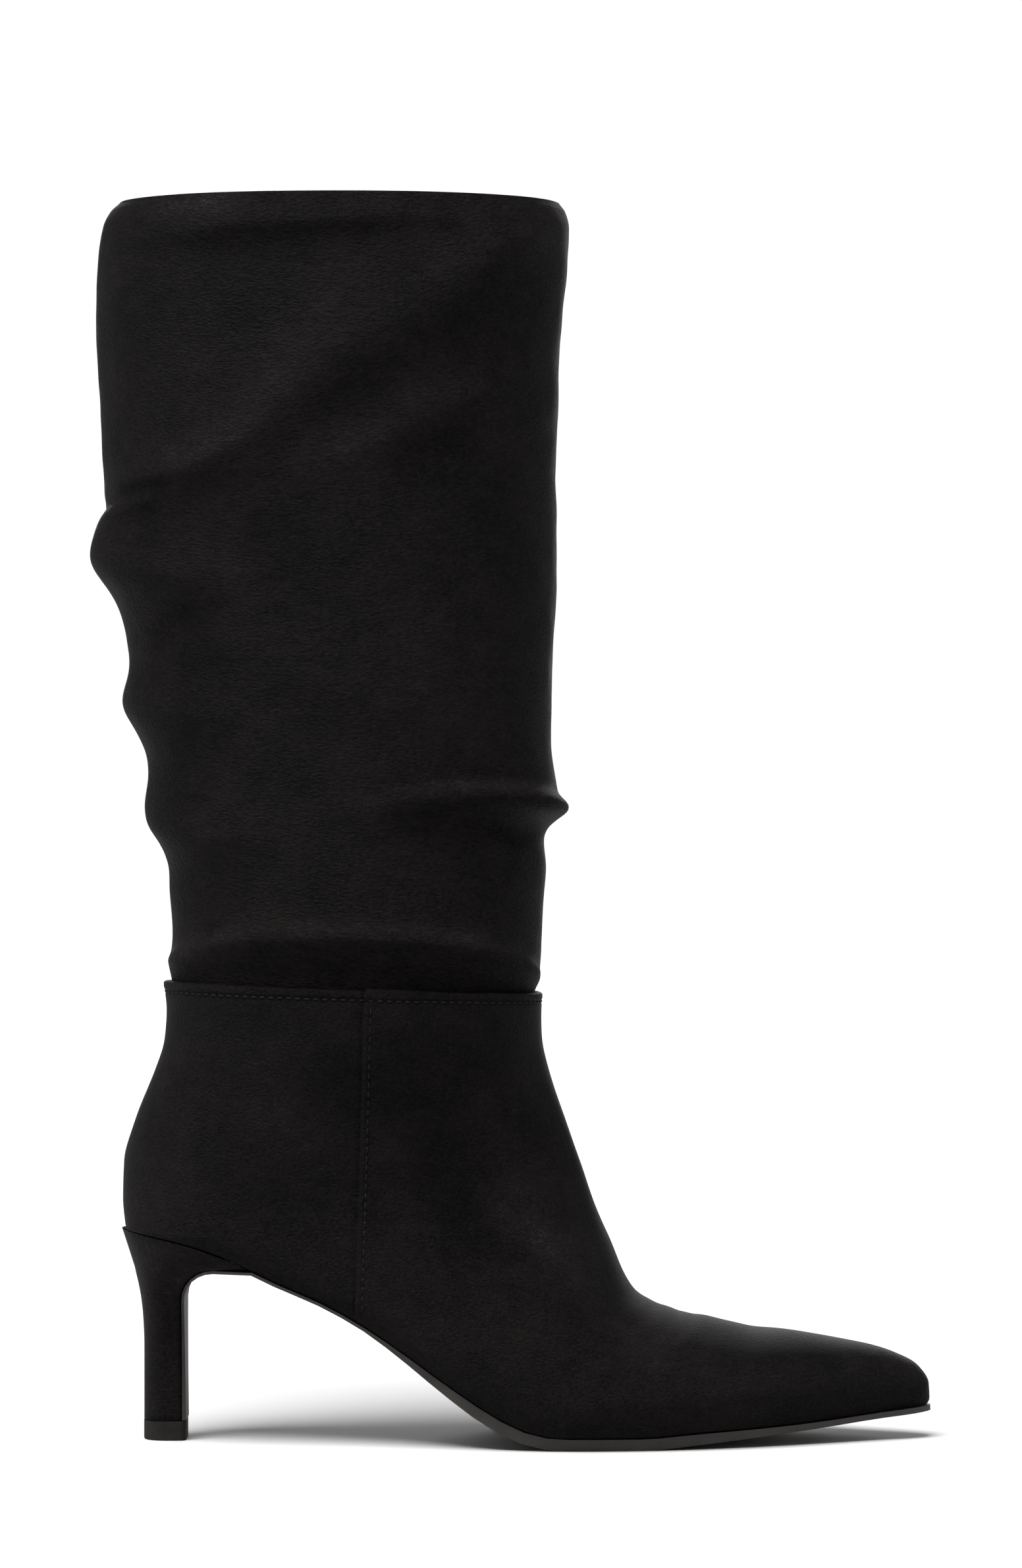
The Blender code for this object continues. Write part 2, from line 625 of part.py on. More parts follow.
def make_outsole(material, collection, frame):
    strip = sole_strip()
    points, faces = [], []
    ring = 2 * (SOLE_SIDES + 1)
    across = np.linspace(-1, 1, SOLE_SIDES + 1)
    for low, down, thick, halves, centre in strip:
        for share in across:
            half = halves[0] if share < 0 else halves[1]
            points.append(low + Vector((0, centre + share * half, 0)))
        for share in reversed(across):
            half = max((halves[0] if share < 0 else halves[1]) - SOLE_BEVEL, SOLE_BEVEL)
            points.append(low + down * thick + Vector((0, centre + share * half, 0)))
    for row in range(len(strip) - 1):
        for side in range(ring):
            here = row * ring + side
            beside = row * ring + (side + 1) % ring
            faces.append((here, here + ring, beside + ring, beside))
    last = (len(strip) - 1) * ring
    faces.append(tuple(range(ring)))
    faces.append(tuple(reversed(range(last, last + ring))))
    mesh, shape = clean_mesh("outsole", faces, points)
    bmesh.ops.recalc_face_normals(shape, faces=shape.faces)
    bmesh.ops.triangulate(shape, faces=[face for face in shape.faces if len(face.verts) > 4])
    return add_object("outsole", finish_mesh(mesh, shape), material, collection, frame)


def stem_ring(z, back, front, half, sides):
    """A section of the heel: round at the back, flat at the breast."""
    middle = back + (front - back) * STEM_MIDDLE
    points = []
    for side in range(sides):
        angle = 2 * math.pi * (side + 0.5) / sides
        ahead, across = math.cos(angle), math.sin(angle)
        power = BREAST_CURVE if ahead > 0 else BACK_CURVE
        reach = front - middle if ahead > 0 else middle - back
        x = middle + math.copysign(abs(ahead) ** power, ahead) * reach
        y = math.copysign(abs(across) ** power, across) * half
        points.append(Vector((x, y, z)))
    return points


def seat_ring(sides, front):
    """The edge of the heel under the seat, along the sole's own outline."""
    middle = SEAT_WIDTH / 2
    points = []
    for side in range(sides):
        angle = 2 * math.pi * (side + 0.5) / sides
        ahead, across = math.cos(angle), math.sin(angle)
        if ahead > 0:
            x = middle + ahead**BREAST_CURVE * (front - middle)
            reach = abs(across) ** BREAST_CURVE
        else:
            x = middle + ahead * middle
            reach = 1
        half = float(sole_half(x, math.copysign(1, across))) - SEAT_REVEAL
        y = math.copysign(reach * half, across)
        points.append(Vector((x, y, float(parting_z(x)) - GAP / 2)))
    return points


def loft_faces(rings, sides):
    """Faces of a stack of rings, each end closed by strips across the heel."""
    faces = []
    for row in range(rings - 1):
        for side in range(sides):
            here = row * sides + side
            beside = row * sides + (side + 1) % sides
            faces.append((here, beside, beside + sides, here + sides))
    last = (rings - 1) * sides
    for side in range(sides // 2 - 1):
        mirror = sides - 1 - side
        faces.append((side, mirror, mirror - 1, side + 1))
        faces.append((last + side, last + side + 1, last + mirror - 1, last + mirror))
    return faces


def make_heel(material, collection, frame):
    bottom = TOP_PIECE_HEIGHT + GAP
    ledge = lip_z() + GAP
    turn = breast_turn(GAP, BREAST_STEPS)[:0:-1]
    straight_x, straight_z = turn[0][:2]
    fronts = [
        (straight_x, bottom + (straight_z - bottom) * share) for share in (0, 0.2, 0.4, 0.6, 0.8)
    ]
    fronts += [(x, z) for x, z, angle in turn]
    rings = []
    for front, z in fronts:
        setback = follow(column(STEMS, "height") * HEEL_HEIGHT, column(STEMS, "setback"), z)
        back = float(setback) * HEEL_SETBACK
        rings.append(stem_ring(z, back, front, stem_half(z), HEEL_SIDES))
    stem = rings[-1]
    seat = seat_ring(HEEL_SIDES, HEEL_SETBACK + HEEL_LENGTH + HEEL_LIP)
    for share in (0.40, 0.75):
        ring = [below.lerp(above, share) for below, above in zip(stem, seat)]
        for point in ring:
            point.z = max(point.z, ledge)
        rings.append(ring)
    rings.append(seat)
    points = [point for ring in rings for point in ring]
    mesh, shape = clean_mesh("heel", loft_faces(len(rings), HEEL_SIDES), points)
    return add_object("heel", finish_mesh(mesh, shape), material, collection, frame)


def make_top_piece(material, collection, frame):
    front = HEEL_SETBACK + HEEL_LENGTH + FLAP_THICKNESS
    half = stem_half(TOP_PIECE_HEIGHT)
    rings = [
        stem_ring(0, HEEL_SETBACK + GAP, front - GAP, half - GAP, HEEL_SIDES),
        stem_ring(GAP, HEEL_SETBACK, front, half, HEEL_SIDES),
        stem_ring(TOP_PIECE_HEIGHT, HEEL_SETBACK, front, half, HEEL_SIDES),
    ]
    points = [point for ring in rings for point in ring]
    mesh, shape = clean_mesh("top_piece", loft_faces(len(rings), HEEL_SIDES), points)
    return add_object("top_piece", finish_mesh(mesh, shape), material, collection, frame)


def insole_half(x, back, front, side):
    """Half width of the insole, held inside the upper's lower edge."""
    inset = FEATHER_INSET + UPPER_WALL + 2 * GAP
    round_back, round_front = SEAT_WIDTH / 2, FOOT_LENGTH * INSOLE_TOE
    half = float(sole_half(min(max(x, round_back), round_front), side)) - inset
    if x < round_back:
        off = (round_back - x) / (round_back - back)
    else:
        off = max(x - round_front, 0) / (front - round_front)
    return half * math.sqrt(max(1 - off**2, 0))


def make_insole(material, collection, frame):
    back = FEATHER_INSET + UPPER_WALL + 4 * GAP
    front = FOOT_LENGTH - FEATHER_INSET - 2 * UPPER_WALL - 4 * GAP
    rows, sides = 26, 4
    points, faces = [], []
    ring = 2 * (sides + 1)
    for row in range(rows):
        share = row / (rows - 1)
        x = back + (front - back) * (share - math.sin(2 * math.pi * share) * INSOLE_EASE)
        low = float(parting_z(x)) + GAP / 2
        spread = [-1, -0.5, 0, 0.5, 1]
        halves = [insole_half(x, back, front, side) for side in (-1, 1)]
        centre = float(sole_centre(x))
        for share_across in spread:
            half = halves[0] if share_across < 0 else halves[1]
            points.append(Vector((x, centre + share_across * half, low)))
        for share_across in reversed(spread):
            half = halves[0] if share_across < 0 else halves[1]
            points.append(Vector((x, centre + share_across * half, low + INSOLE_THICKNESS)))
    for row in range(rows - 1):
        for side in range(ring):
            here = row * ring + side
            beside = row * ring + (side + 1) % ring
            faces.append((here, here + ring, beside + ring, beside))
    mesh, shape = clean_mesh("insole", faces, points)
    bmesh.ops.recalc_face_normals(shape, faces=shape.faces)
    return add_object("insole", finish_mesh(mesh, shape), material, collection, frame)


def centre_on_floor(collection, frame):
    """Moves the frame so that the boot's box stands centred on the origin."""
    bpy.context.view_layer.update()
    depsgraph = bpy.context.evaluated_depsgraph_get()
    corners = []
    for piece in collection.objects:
        if piece.type == "MESH":
            solid = piece.evaluated_get(depsgraph)
            mesh = solid.to_mesh()
            corners += [solid.matrix_world @ vert.co for vert in mesh.vertices]
            solid.to_mesh_clear()
    low = Vector([min(corner[axis] for corner in corners) for axis in range(3)])
    high = Vector([max(corner[axis] for corner in corners) for axis in range(3)])
    frame.location = (-(low.x + high.x) / 2, -(low.y + high.y) / 2, 0)


def build():
    for old in list(bpy.data.objects):
        bpy.data.objects.remove(old, do_unlink=True)
    collection = bpy.data.collections.new("slouch_boot")
    bpy.context.scene.collection.children.link(collection)
    frame = bpy.data.objects.new("boot_frame", None)
    collection.objects.link(frame)
    suede = make_material("black_suede", (0.012, 0.012, 0.014), 0.92)
    rubber = make_material("dark_grey_rubber", (0.035, 0.033, 0.032), 0.55)
    board = make_material("insole_cloth", (0.020, 0.019, 0.019), 0.85)
    make_upper(suede, collection, frame)
    make_shaft(suede, collection, frame)
    make_outsole(rubber, collection, frame)
    make_heel(suede, collection, frame)
    make_top_piece(rubber, collection, frame)
    make_insole(board, collection, frame)
    centre_on_floor(collection, frame)


build()
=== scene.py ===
import math
from collections import namedtuple

import bmesh
import bpy
import numpy as np
from mathutils import Matrix, Vector, noise
from mathutils.bvhtree import BVHTree


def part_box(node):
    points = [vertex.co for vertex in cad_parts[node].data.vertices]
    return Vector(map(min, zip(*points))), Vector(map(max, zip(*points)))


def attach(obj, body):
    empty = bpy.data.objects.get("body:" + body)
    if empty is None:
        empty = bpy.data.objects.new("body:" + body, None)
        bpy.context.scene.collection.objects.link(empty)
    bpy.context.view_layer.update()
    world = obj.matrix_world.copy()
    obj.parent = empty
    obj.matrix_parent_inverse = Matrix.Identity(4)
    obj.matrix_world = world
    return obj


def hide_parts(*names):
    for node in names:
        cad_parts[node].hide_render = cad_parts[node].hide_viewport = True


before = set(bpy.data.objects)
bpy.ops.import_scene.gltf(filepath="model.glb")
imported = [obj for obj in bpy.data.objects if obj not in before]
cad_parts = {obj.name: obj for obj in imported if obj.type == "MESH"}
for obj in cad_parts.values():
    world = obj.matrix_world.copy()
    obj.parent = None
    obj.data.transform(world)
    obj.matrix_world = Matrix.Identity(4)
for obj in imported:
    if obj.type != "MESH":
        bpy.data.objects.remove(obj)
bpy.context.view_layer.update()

# Camera, level with the middle of the boot and square to its outer side. The
# floor is a pale sheet, lit by a bright room and soft lamps over the boot.
CAMERA_PLACE = (-0.0001, -1.791, 0.2025)
CAMERA_LENS = 132.75
FLOOR_BOUNCE = (0.50, 0.50, 0.50)
FLOOR_SIZE = 12.0
FLOOR_COLOR = (0.86, 0.86, 0.86)
ROOM_COLOR = (1.0, 1.0, 1.0)
ROOM_SEEN = 1.02
ROOM_LIGHT = 0.14


class Wire:
    """One output of a shader node. Sums and products of wires are Math nodes."""

    def __init__(self, tree, socket=None):
        self.tree = tree
        self.socket = socket

    def add(self, kind, settings=None, sockets=None, output=0):
        """Adds a node: its settings first, then the values or links of its sockets."""
        node = self.tree.nodes.new("ShaderNode" + kind)
        for name, value in (settings or {}).items():
            if name == "stops":
                ramp = node.color_ramp.elements
                while len(ramp) < len(value):
                    ramp.new(1.0)
                for stop, (place, color) in zip(ramp, value):
                    stop.position = place
                    stop.color = (*color, 1.0)
            else:
                setattr(node, name, value)
        for name, value in (sockets or {}).items():
            if isinstance(value, Wire):
                self.tree.links.new(value.socket, node.inputs[name])
            else:
                node.inputs[name].default_value = value
        return Wire(self.tree, node.outputs[output] if node.outputs else None)

    def split(self):
        """The three parts of a vector."""
        parts = self.add("SeparateXYZ", {}, {"Vector": self}).socket.node.outputs
        return [Wire(self.tree, part) for part in parts]

    def maths(self, operation, *values):
        return self.add("Math", {"operation": operation}, dict(enumerate(values)))

    def __add__(self, other):
        return self.maths("ADD", self, other)

    def __radd__(self, other):
        return self.maths("ADD", other, self)

    def __sub__(self, other):
        return self.maths("SUBTRACT", self, other)

    def __rsub__(self, other):
        return self.maths("SUBTRACT", other, self)

    def __mul__(self, other):
        return self.maths("MULTIPLY", self, other)

    def __rmul__(self, other):
        return self.maths("MULTIPLY", other, self)

    def __truediv__(self, other):
        return self.maths("DIVIDE", self, other)

    def __rtruediv__(self, other):
        return self.maths("DIVIDE", other, self)

    def __pow__(self, other):
        return self.maths("POWER", self, other)


def start_material(name):
    material = bpy.data.materials.new(name)
    material.use_nodes = True
    material.node_tree.nodes.clear()
    return material, Wire(material.node_tree)


camera = bpy.data.objects.new("camera", bpy.data.cameras.new("camera"))
camera.data.lens = CAMERA_LENS
camera.location = CAMERA_PLACE
camera.rotation_euler = (math.radians(90), 0, 0)
bpy.context.scene.collection.objects.link(camera)
bpy.context.scene.camera = camera
bpy.context.scene.view_settings.view_transform = "Standard"

floor_mesh = bpy.data.meshes.new("floor")
reach = FLOOR_SIZE / 2
floor_mesh.from_pydata(
    [(-reach, -reach, 0), (reach, -reach, 0), (reach, reach, 0), (-reach, reach, 0)], [], [(0, 1, 2, 3)]
)
floor = bpy.data.objects.new("floor", floor_mesh)
bpy.context.scene.collection.objects.link(floor)
pale, wire = start_material("pale_floor")
seen = wire.add("LightPath")
shade = wire.add("ValToRGB", {"stops": [(0.0, FLOOR_BOUNCE), (1.0, FLOOR_COLOR)]}, {"Fac": seen})
wire.add("OutputMaterial", {}, {"Surface": wire.add(
    "BsdfPrincipled", {}, {"Base Color": shade, "Roughness": 0.8, "Specular IOR Level": 0.2}
)})
floor_mesh.materials.append(pale)

world = bpy.data.worlds.new("room")
bpy.context.scene.world = world
world.use_nodes = True
world.node_tree.nodes.clear()
wire = Wire(world.node_tree)
seen = wire.add("LightPath")
wire.add("OutputWorld", {}, {"Surface": wire.add("Background", {}, {
    "Color": (*ROOM_COLOR, 1), "Strength": seen * (ROOM_SEEN - ROOM_LIGHT) + ROOM_LIGHT,
})})

Lamp = namedtuple("Lamp", "name kind turn_x turn_y power spread")
for lamp in [
    Lamp("ceiling_lamp", "SUN", 17.0, -13.0, 4.2, 40.0),
    Lamp("rear_lamp", "SUN", -76.0, 10.0, 0.9, 40.0),
]:
    light = bpy.data.lights.new(lamp.name, lamp.kind)
    light.energy = lamp.power
    light.angle = math.radians(lamp.spread)
    holder = bpy.data.objects.new(lamp.name, light)
    holder.location = (0, 0, 2)
    holder.rotation_euler = (math.radians(lamp.turn_x), math.radians(lamp.turn_y), 0)
    bpy.context.scene.collection.objects.link(holder)

# Upper, the foot section of the boot: black suede over a last, the vamp lapped
# on the quarter at both sides, its top edge folded in at the ankle and stitched.
# It is made as sections round the last, drawn out from short tables.
FOOT_LENGTH = 0.2508
BALL_WIDTH = 0.0852
SOLE_WIDTH = 0.0768
SEAT_WIDTH = 0.0530
HEEL_HEIGHT = 0.0654
TOE_SPRING = 0.0084
VAMP_RISE = 0.0345
ANKLE_RISE = 0.0759
ANKLE_WIDTH = 0.0760
SOLE_THICKNESS = 0.0037
TOE_ROUND = 0.0085
FEATHER_INSET = 0.0016
HEEL_SETBACK = 0.0069
GAP = 0.0003
UPPER_WALL = 0.0020
UPPER_SIDES = 200
RING_STEPS = 74
SPAN_STEPS = 231
BLEND_SPREAD = 40
BLEND_PASSES = 260
BLEND_EDGE = 0.06
EDGE_STITCH_DROP = 0.33
EDGE_GROOVE = 0.00030
EDGE_GROOVE_WIDTH = 0.06
EDGE_SWELL = 0.00012
EDGE_SWELL_DROP = 0.15
EDGE_SWELL_WIDTH = 0.09
SEAM_TOP = 0.303
SEAM_FOOT = 0.291
SEAM_STITCH = 0.0021
SEAM_FADE = 0.0180
LAP_START = 0.004
CREASE_START = 0.012
UNEVEN_START = 0.010
UNEVEN_DEPTH = 0.00025
UNEVEN_SCALE = 55
GRAIN_DEPTH = 0.0015
SUEDE_DARK = (0.0004, 0.0003, 0.0003)
SUEDE_LIGHT = (0.0132, 0.0102, 0.0101)
# The last suede colour is painted sheen, the bluish tone of the painted highlights.
SUEDE_PAINTED_GLEAM = (0.0360, 0.0340, 0.0470)

# Edge of the sole from above: halves are shares of the sole width, and of the
# seat width where seat is 1. centre is the swing to the big toe.
Outline = namedtuple("Outline", "along lateral medial centre seat")
OUTLINE = [
    Outline(0.00, 0.500, 0.500, 0.000, 1.0),
    Outline(0.11, 0.500, 0.500, 0.000, 1.0),
    Outline(0.20, 0.515, 0.500, 0.000, 1.0),
    Outline(0.30, 0.375, 0.325, 0.000, 0.0),
    Outline(0.37, 0.410, 0.350, 0.000, 0.0),
    Outline(0.43, 0.450, 0.395, 0.000, 0.0),
    Outline(0.50, 0.486, 0.452, 0.004, 0.0),
    Outline(0.57, 0.500, 0.490, 0.008, 0.0),
    Outline(0.63, 0.492, 0.500, 0.013, 0.0),
    Outline(0.69, 0.462, 0.480, 0.018, 0.0),
    Outline(0.76, 0.398, 0.420, 0.024, 0.0),
    Outline(0.83, 0.312, 0.330, 0.031, 0.0),
    Outline(0.89, 0.226, 0.238, 0.037, 0.0),
    Outline(0.94, 0.150, 0.156, 0.042, 0.0),
    Outline(1.00, 0.085, 0.088, 0.046, 0.0),
]

# Line where upper and sole part, from the side: lift is a share of the heel
# height, spring of the toe spring, thick of the sole thickness.
Profile = namedtuple("Profile", "along lift spring thick")
PROFILE = [
    Profile(0.000, 1.000, 0.00, 0.30),
    Profile(0.040, 0.975, 0.00, 0.30),
    Profile(0.080, 0.942, 0.00, 0.30),
    Profile(0.120, 0.893, 0.00, 0.30),
    Profile(0.160, 0.824, 0.00, 0.30),
    Profile(0.200, 0.750, 0.00, 0.30),
    Profile(0.245, 0.678, 0.00, 0.30),
    Profile(0.290, 0.584, 0.00, 0.30),
    Profile(0.340, 0.454, 0.00, 0.45),
    Profile(0.390, 0.305, 0.00, 0.70),
    Profile(0.425, 0.202, 0.00, 0.88),
    Profile(0.465, 0.094, 0.00, 1.00),
    Profile(0.505, 0.024, 0.00, 1.00),
    Profile(0.540, 0.000, 0.00, 1.00),
    Profile(0.640, 0.000, 0.00, 1.00),
    Profile(0.700, 0.000, 0.14, 0.95),
    Profile(0.780, 0.000, 0.36, 0.74),
    Profile(0.850, 0.000, 0.56, 0.58),
    Profile(0.920, 0.000, 0.78, 0.52),
    Profile(1.000, 0.000, 1.00, 0.52),
]

# Closed sections from the ankle edge down to the seat: heights are shares of
# the ankle rise over the seat, places of the length, half of the ankle width.
Ring = namedtuple("Ring", "back_x back_z front_x front_z half widest back_curve front_curve")
RINGS = [
    Ring(0.0515, 1.000, 0.5195, 0.952, 0.500, 0.50, 2.05, 2.05),
    Ring(0.0552, 0.890, 0.5182, 0.858, 0.490, 0.50, 2.05, 2.05),
    Ring(0.0523, 0.770, 0.5188, 0.766, 0.474, 0.49, 2.12, 2.03),
    Ring(0.0396, 0.630, 0.5252, 0.670, 0.452, 0.47, 2.20, 2.00),
    Ring(0.0170, 0.450, 0.5350, 0.560, 0.432, 0.44, 2.25, 2.02),
    Ring(0.0018, 0.270, 0.5465, 0.455, 0.420, 0.40, 2.30, 2.04),
    Ring(0.0006, 0.120, 0.5540, 0.380, 0.412, 0.37, 2.30, 2.06),
    Ring(0.0050, 0.000, 0.5600, 0.325, 0.404, 0.35, 2.30, 2.08),
]

# Open sections from the seat to the toe, each in a plane through its low point
# on the sole and its high point on the instep ridge. rise is a share of the
# vamp rise over the low point, the halves are shares of the ball width.
Span = namedtuple("Span", "low_x top_x rise lateral medial widest low_curve top_curve")
SPANS = [
    Span(0.0050, 0.5600, 0.710, 0.360, 0.360, 0.35, 2.30, 2.08),
    Span(0.0130, 0.5640, 0.650, 0.360, 0.358, 0.35, 2.25, 2.08),
    Span(0.0330, 0.5690, 0.590, 0.364, 0.358, 0.36, 2.20, 2.08),
    Span(0.0700, 0.5750, 0.530, 0.370, 0.360, 0.38, 2.15, 2.06),
    Span(0.1250, 0.5820, 0.500, 0.380, 0.366, 0.42, 2.10, 2.04),
    Span(0.1900, 0.5910, 0.495, 0.396, 0.376, 0.44, 2.10, 2.00),
    Span(0.2600, 0.6020, 0.515, 0.420, 0.392, 0.45, 2.10, 1.96),
    Span(0.3250, 0.6150, 0.580, 0.448, 0.415, 0.44, 2.15, 1.92),
    Span(0.3850, 0.6330, 0.700, 0.474, 0.443, 0.41, 2.20, 1.90),
    Span(0.4400, 0.6560, 0.850, 0.492, 0.470, 0.37, 2.25, 1.88),
    Span(0.4900, 0.6830, 0.950, 0.502, 0.490, 0.34, 2.30, 1.86),
    Span(0.5400, 0.7120, 0.980, 0.504, 0.503, 0.32, 2.30, 1.86),
    Span(0.6000, 0.7470, 0.935, 0.492, 0.504, 0.31, 2.30, 1.88),
    Span(0.6700, 0.7900, 0.865, 0.456, 0.474, 0.31, 2.30, 1.92),
    Span(0.7400, 0.8350, 0.795, 0.398, 0.414, 0.31, 2.30, 1.96),
    Span(0.8100, 0.8810, 0.715, 0.314, 0.326, 0.31, 2.30, 2.00),
    Span(0.8700, 0.9230, 0.618, 0.232, 0.238, 0.31, 2.30, 2.05),
    Span(0.9200, 0.9560, 0.508, 0.165, 0.166, 0.31, 2.30, 2.10),
    Span(0.9580, 0.9830, 0.378, 0.116, 0.115, 0.31, 2.25, 2.10),
    Span(0.9810, 0.9975, 0.200, 0.074, 0.074, 0.33, 2.15, 2.10),
    Span(0.9930, 0.9985, 0.060, 0.034, 0.034, 0.40, 2.00, 2.00),
    Span(0.9960, 0.9960, 0.000, 0.000, 0.000, 0.50, 2.00, 2.00),
]

# Soft troughs (depth below zero) and swells of the foot section, from one
# place (x, z) to another on the side view, in shares of the foot length. side
# is -1 on the outer side, 1 on the inner side and 0 on both.
Crease = namedtuple("Crease", "x z end_x end_z wide depth side")
VAMP_CREASES = [
    Crease(0.640, 0.175, 0.575, 0.105, 0.016, -0.0009, 0),
    Crease(0.700, 0.165, 0.660, 0.095, 0.018, 0.0006, 0),
    Crease(0.560, 0.300, 0.470, 0.205, 0.022, -0.0007, 0),
    Crease(0.585, 0.230, 0.500, 0.150, 0.022, 0.0007, 0),
    Crease(0.400, 0.330, 0.380, 0.240, 0.026, -0.0006, -1),
    Crease(0.340, 0.345, 0.345, 0.300, 0.015, 0.0005, -1),
    Crease(0.150, 0.420, 0.230, 0.400, 0.024, -0.0006, -1),
    Crease(0.060, 0.330, 0.180, 0.290, 0.026, -0.0007, 0),
    Crease(0.240, 0.250, 0.380, 0.170, 0.020, -0.0004, -1),
    Crease(0.420, 0.120, 0.560, 0.055, 0.018, 0.0005, -1),
]


def column(rows, name):
    return np.array([getattr(row, name) for row in rows], dtype=float)


def follow(places, values, at):
    """Smooth curve through values at rising places, with no overshoot."""
    at = np.clip(np.asarray(at, dtype=float), places[0], places[-1])
    steps = np.diff(places)
    slopes = np.diff(values) / steps
    tangents = np.concatenate([slopes[:1], np.zeros(len(slopes) - 1), slopes[-1:]])
    rising = slopes[:-1] * slopes[1:] > 0
    before, after = slopes[:-1][rising], slopes[1:][rising]
    tangents[1:-1][rising] = 2 * before * after / (before + after)
    cell = np.clip(np.searchsorted(places, at, side="right") - 1, 0, len(steps) - 1)
    width = steps[cell]
    part = (at - places[cell]) / width
    ahead = 1 - part
    return (
        values[cell] * (1 + 2 * part) * ahead**2
        + tangents[cell] * width * part * ahead**2
        + values[cell + 1] * (3 - 2 * part) * part**2
        - tangents[cell + 1] * width * ahead * part**2
    )


def between(rows, at):
    """A table drawn out at the places at, counted in rows, as arrays by name."""
    index = np.arange(len(rows), dtype=float)
    return {name: follow(index, column(rows, name), at) for name in rows[0]._fields}


def sole_half(x, side):
    """Half width of the sole at x, on the lateral (-1) or medial (+1) side."""
    along = np.asarray(x, dtype=float) / FOOT_LENGTH
    places = column(OUTLINE, "along")
    seat = follow(places, column(OUTLINE, "seat"), along)
    half = follow(places, column(OUTLINE, "lateral" if side < 0 else "medial"), along)
    half = half * (SOLE_WIDTH + (SEAT_WIDTH - SOLE_WIDTH) * seat)
    back = np.clip(1 - np.asarray(x) / (SEAT_WIDTH / 2), 0, 1)
    front = np.clip(1 - (FOOT_LENGTH - np.asarray(x)) / TOE_ROUND, 0, 1)
    return half * np.sqrt(1 - back**2) * np.sqrt(1 - front**2)


def sole_centre(x):
    along = np.asarray(x, dtype=float) / FOOT_LENGTH
    return follow(column(OUTLINE, "along"), column(OUTLINE, "centre"), along) * SOLE_WIDTH


def sole_thickness(x):
    along = np.asarray(x, dtype=float) / FOOT_LENGTH
    return follow(column(PROFILE, "along"), column(PROFILE, "thick"), along) * SOLE_THICKNESS


def parting_z(x):
    """Height of the line where upper and sole part, at x."""
    along = np.asarray(x, dtype=float) / FOOT_LENGTH
    places = column(PROFILE, "along")
    lift = follow(places, column(PROFILE, "lift"), along)
    spring = follow(places, column(PROFILE, "spring"), along)
    return lift * HEEL_HEIGHT + spring * TOE_SPRING + (1 - lift) * sole_thickness(x)


def section(low, top, halves, starts, centres, widest, low_curve, top_curve, sides):
    """Points around a section, from its low point over the top, outer side first."""
    quarter = np.linspace(0, math.pi / 2, 90)
    reach = math.dist(low, top)
    sides_done = []
    for sign, half, start in zip((-1, 1), halves, starts):
        low_out = start + (half - start) * np.sin(quarter) ** (2 / low_curve)
        low_up = widest * (1 - np.cos(quarter) ** (2 / low_curve))
        top_out = half * np.cos(quarter) ** (2 / top_curve)
        top_up = widest + (1 - widest) * np.sin(quarter) ** (2 / top_curve)
        up = np.concatenate([low_up, top_up[1:]])
        out = np.concatenate([low_out, top_out[1:]])
        travelled = np.concatenate([[0], np.cumsum(np.hypot(np.diff(up) * reach, np.diff(out)))])
        even = np.linspace(0, travelled[-1], sides // 2 + 1)
        up, out = np.interp(even, travelled, up), np.interp(even, travelled, out)
        x = low[0] + (top[0] - low[0]) * up
        z = low[1] + (top[1] - low[1]) * up
        y = centres[0] + (centres[1] - centres[0]) * up + sign * out
        sides_done.append(np.stack([x, y, z], axis=1))
    return np.concatenate([sides_done[0], sides_done[1][::-1][1:]])


def ring_section(rings, row, inset, sides):
    """A closed section of the ankle, drawn in by inset."""
    back = (rings["back_x"][row] * FOOT_LENGTH + inset, HEEL_HEIGHT + rings["back_z"][row] * ANKLE_RISE)
    front = (rings["front_x"][row] * FOOT_LENGTH - inset, HEEL_HEIGHT + rings["front_z"][row] * ANKLE_RISE)
    half = rings["half"][row] * ANKLE_WIDTH - inset
    return section(
        back, front, (half, half), (0, 0), (0, 0), rings["widest"][row],
        rings["back_curve"][row], rings["front_curve"][row], sides,
    )


def span_section(spans, row, inset, sides):
    """An open section over the sole, drawn in by inset."""
    low_x = spans["low_x"][row] * FOOT_LENGTH
    top_x = spans["top_x"][row] * FOOT_LENGTH - inset
    low_z = float(parting_z(low_x)) + GAP / 2
    top_z = low_z + max(spans["rise"][row] * VAMP_RISE - inset, 0)
    halves = [max(spans[name][row] * BALL_WIDTH - inset, 0) for name in ("lateral", "medial")]
    starts = [
        min(max(float(sole_half(low_x, side)) - FEATHER_INSET - inset, 0), half)
        for side, half in zip((-1, 1), halves)
    ]
    return section(
        (low_x, low_z), (top_x, top_z), halves, starts, (sole_centre(low_x), sole_centre(top_x)),
        spans["widest"][row], spans["low_curve"][row], spans["top_curve"][row], sides,
    )


def blend_rows(grid, middle, spread, passes):
    """Evens the rows of a grid round its middle row, away from the lower edge."""
    rows, sides = grid.shape[:2]
    near = np.exp(-(((np.arange(rows) - middle) / spread) ** 2))
    from_edge = np.minimum(np.arange(sides), sides - 1 - np.arange(sides))
    inward = np.clip(from_edge / (sides * BLEND_EDGE), 0, 1)
    share = (near[:, None] * inward[None, :])[..., None]
    for _ in range(passes):
        even = grid.copy()
        even[1:-1] = (grid[:-2] + 2 * grid[1:-1] + grid[2:]) / 4
        grid = grid + (even - grid) * share
    return grid


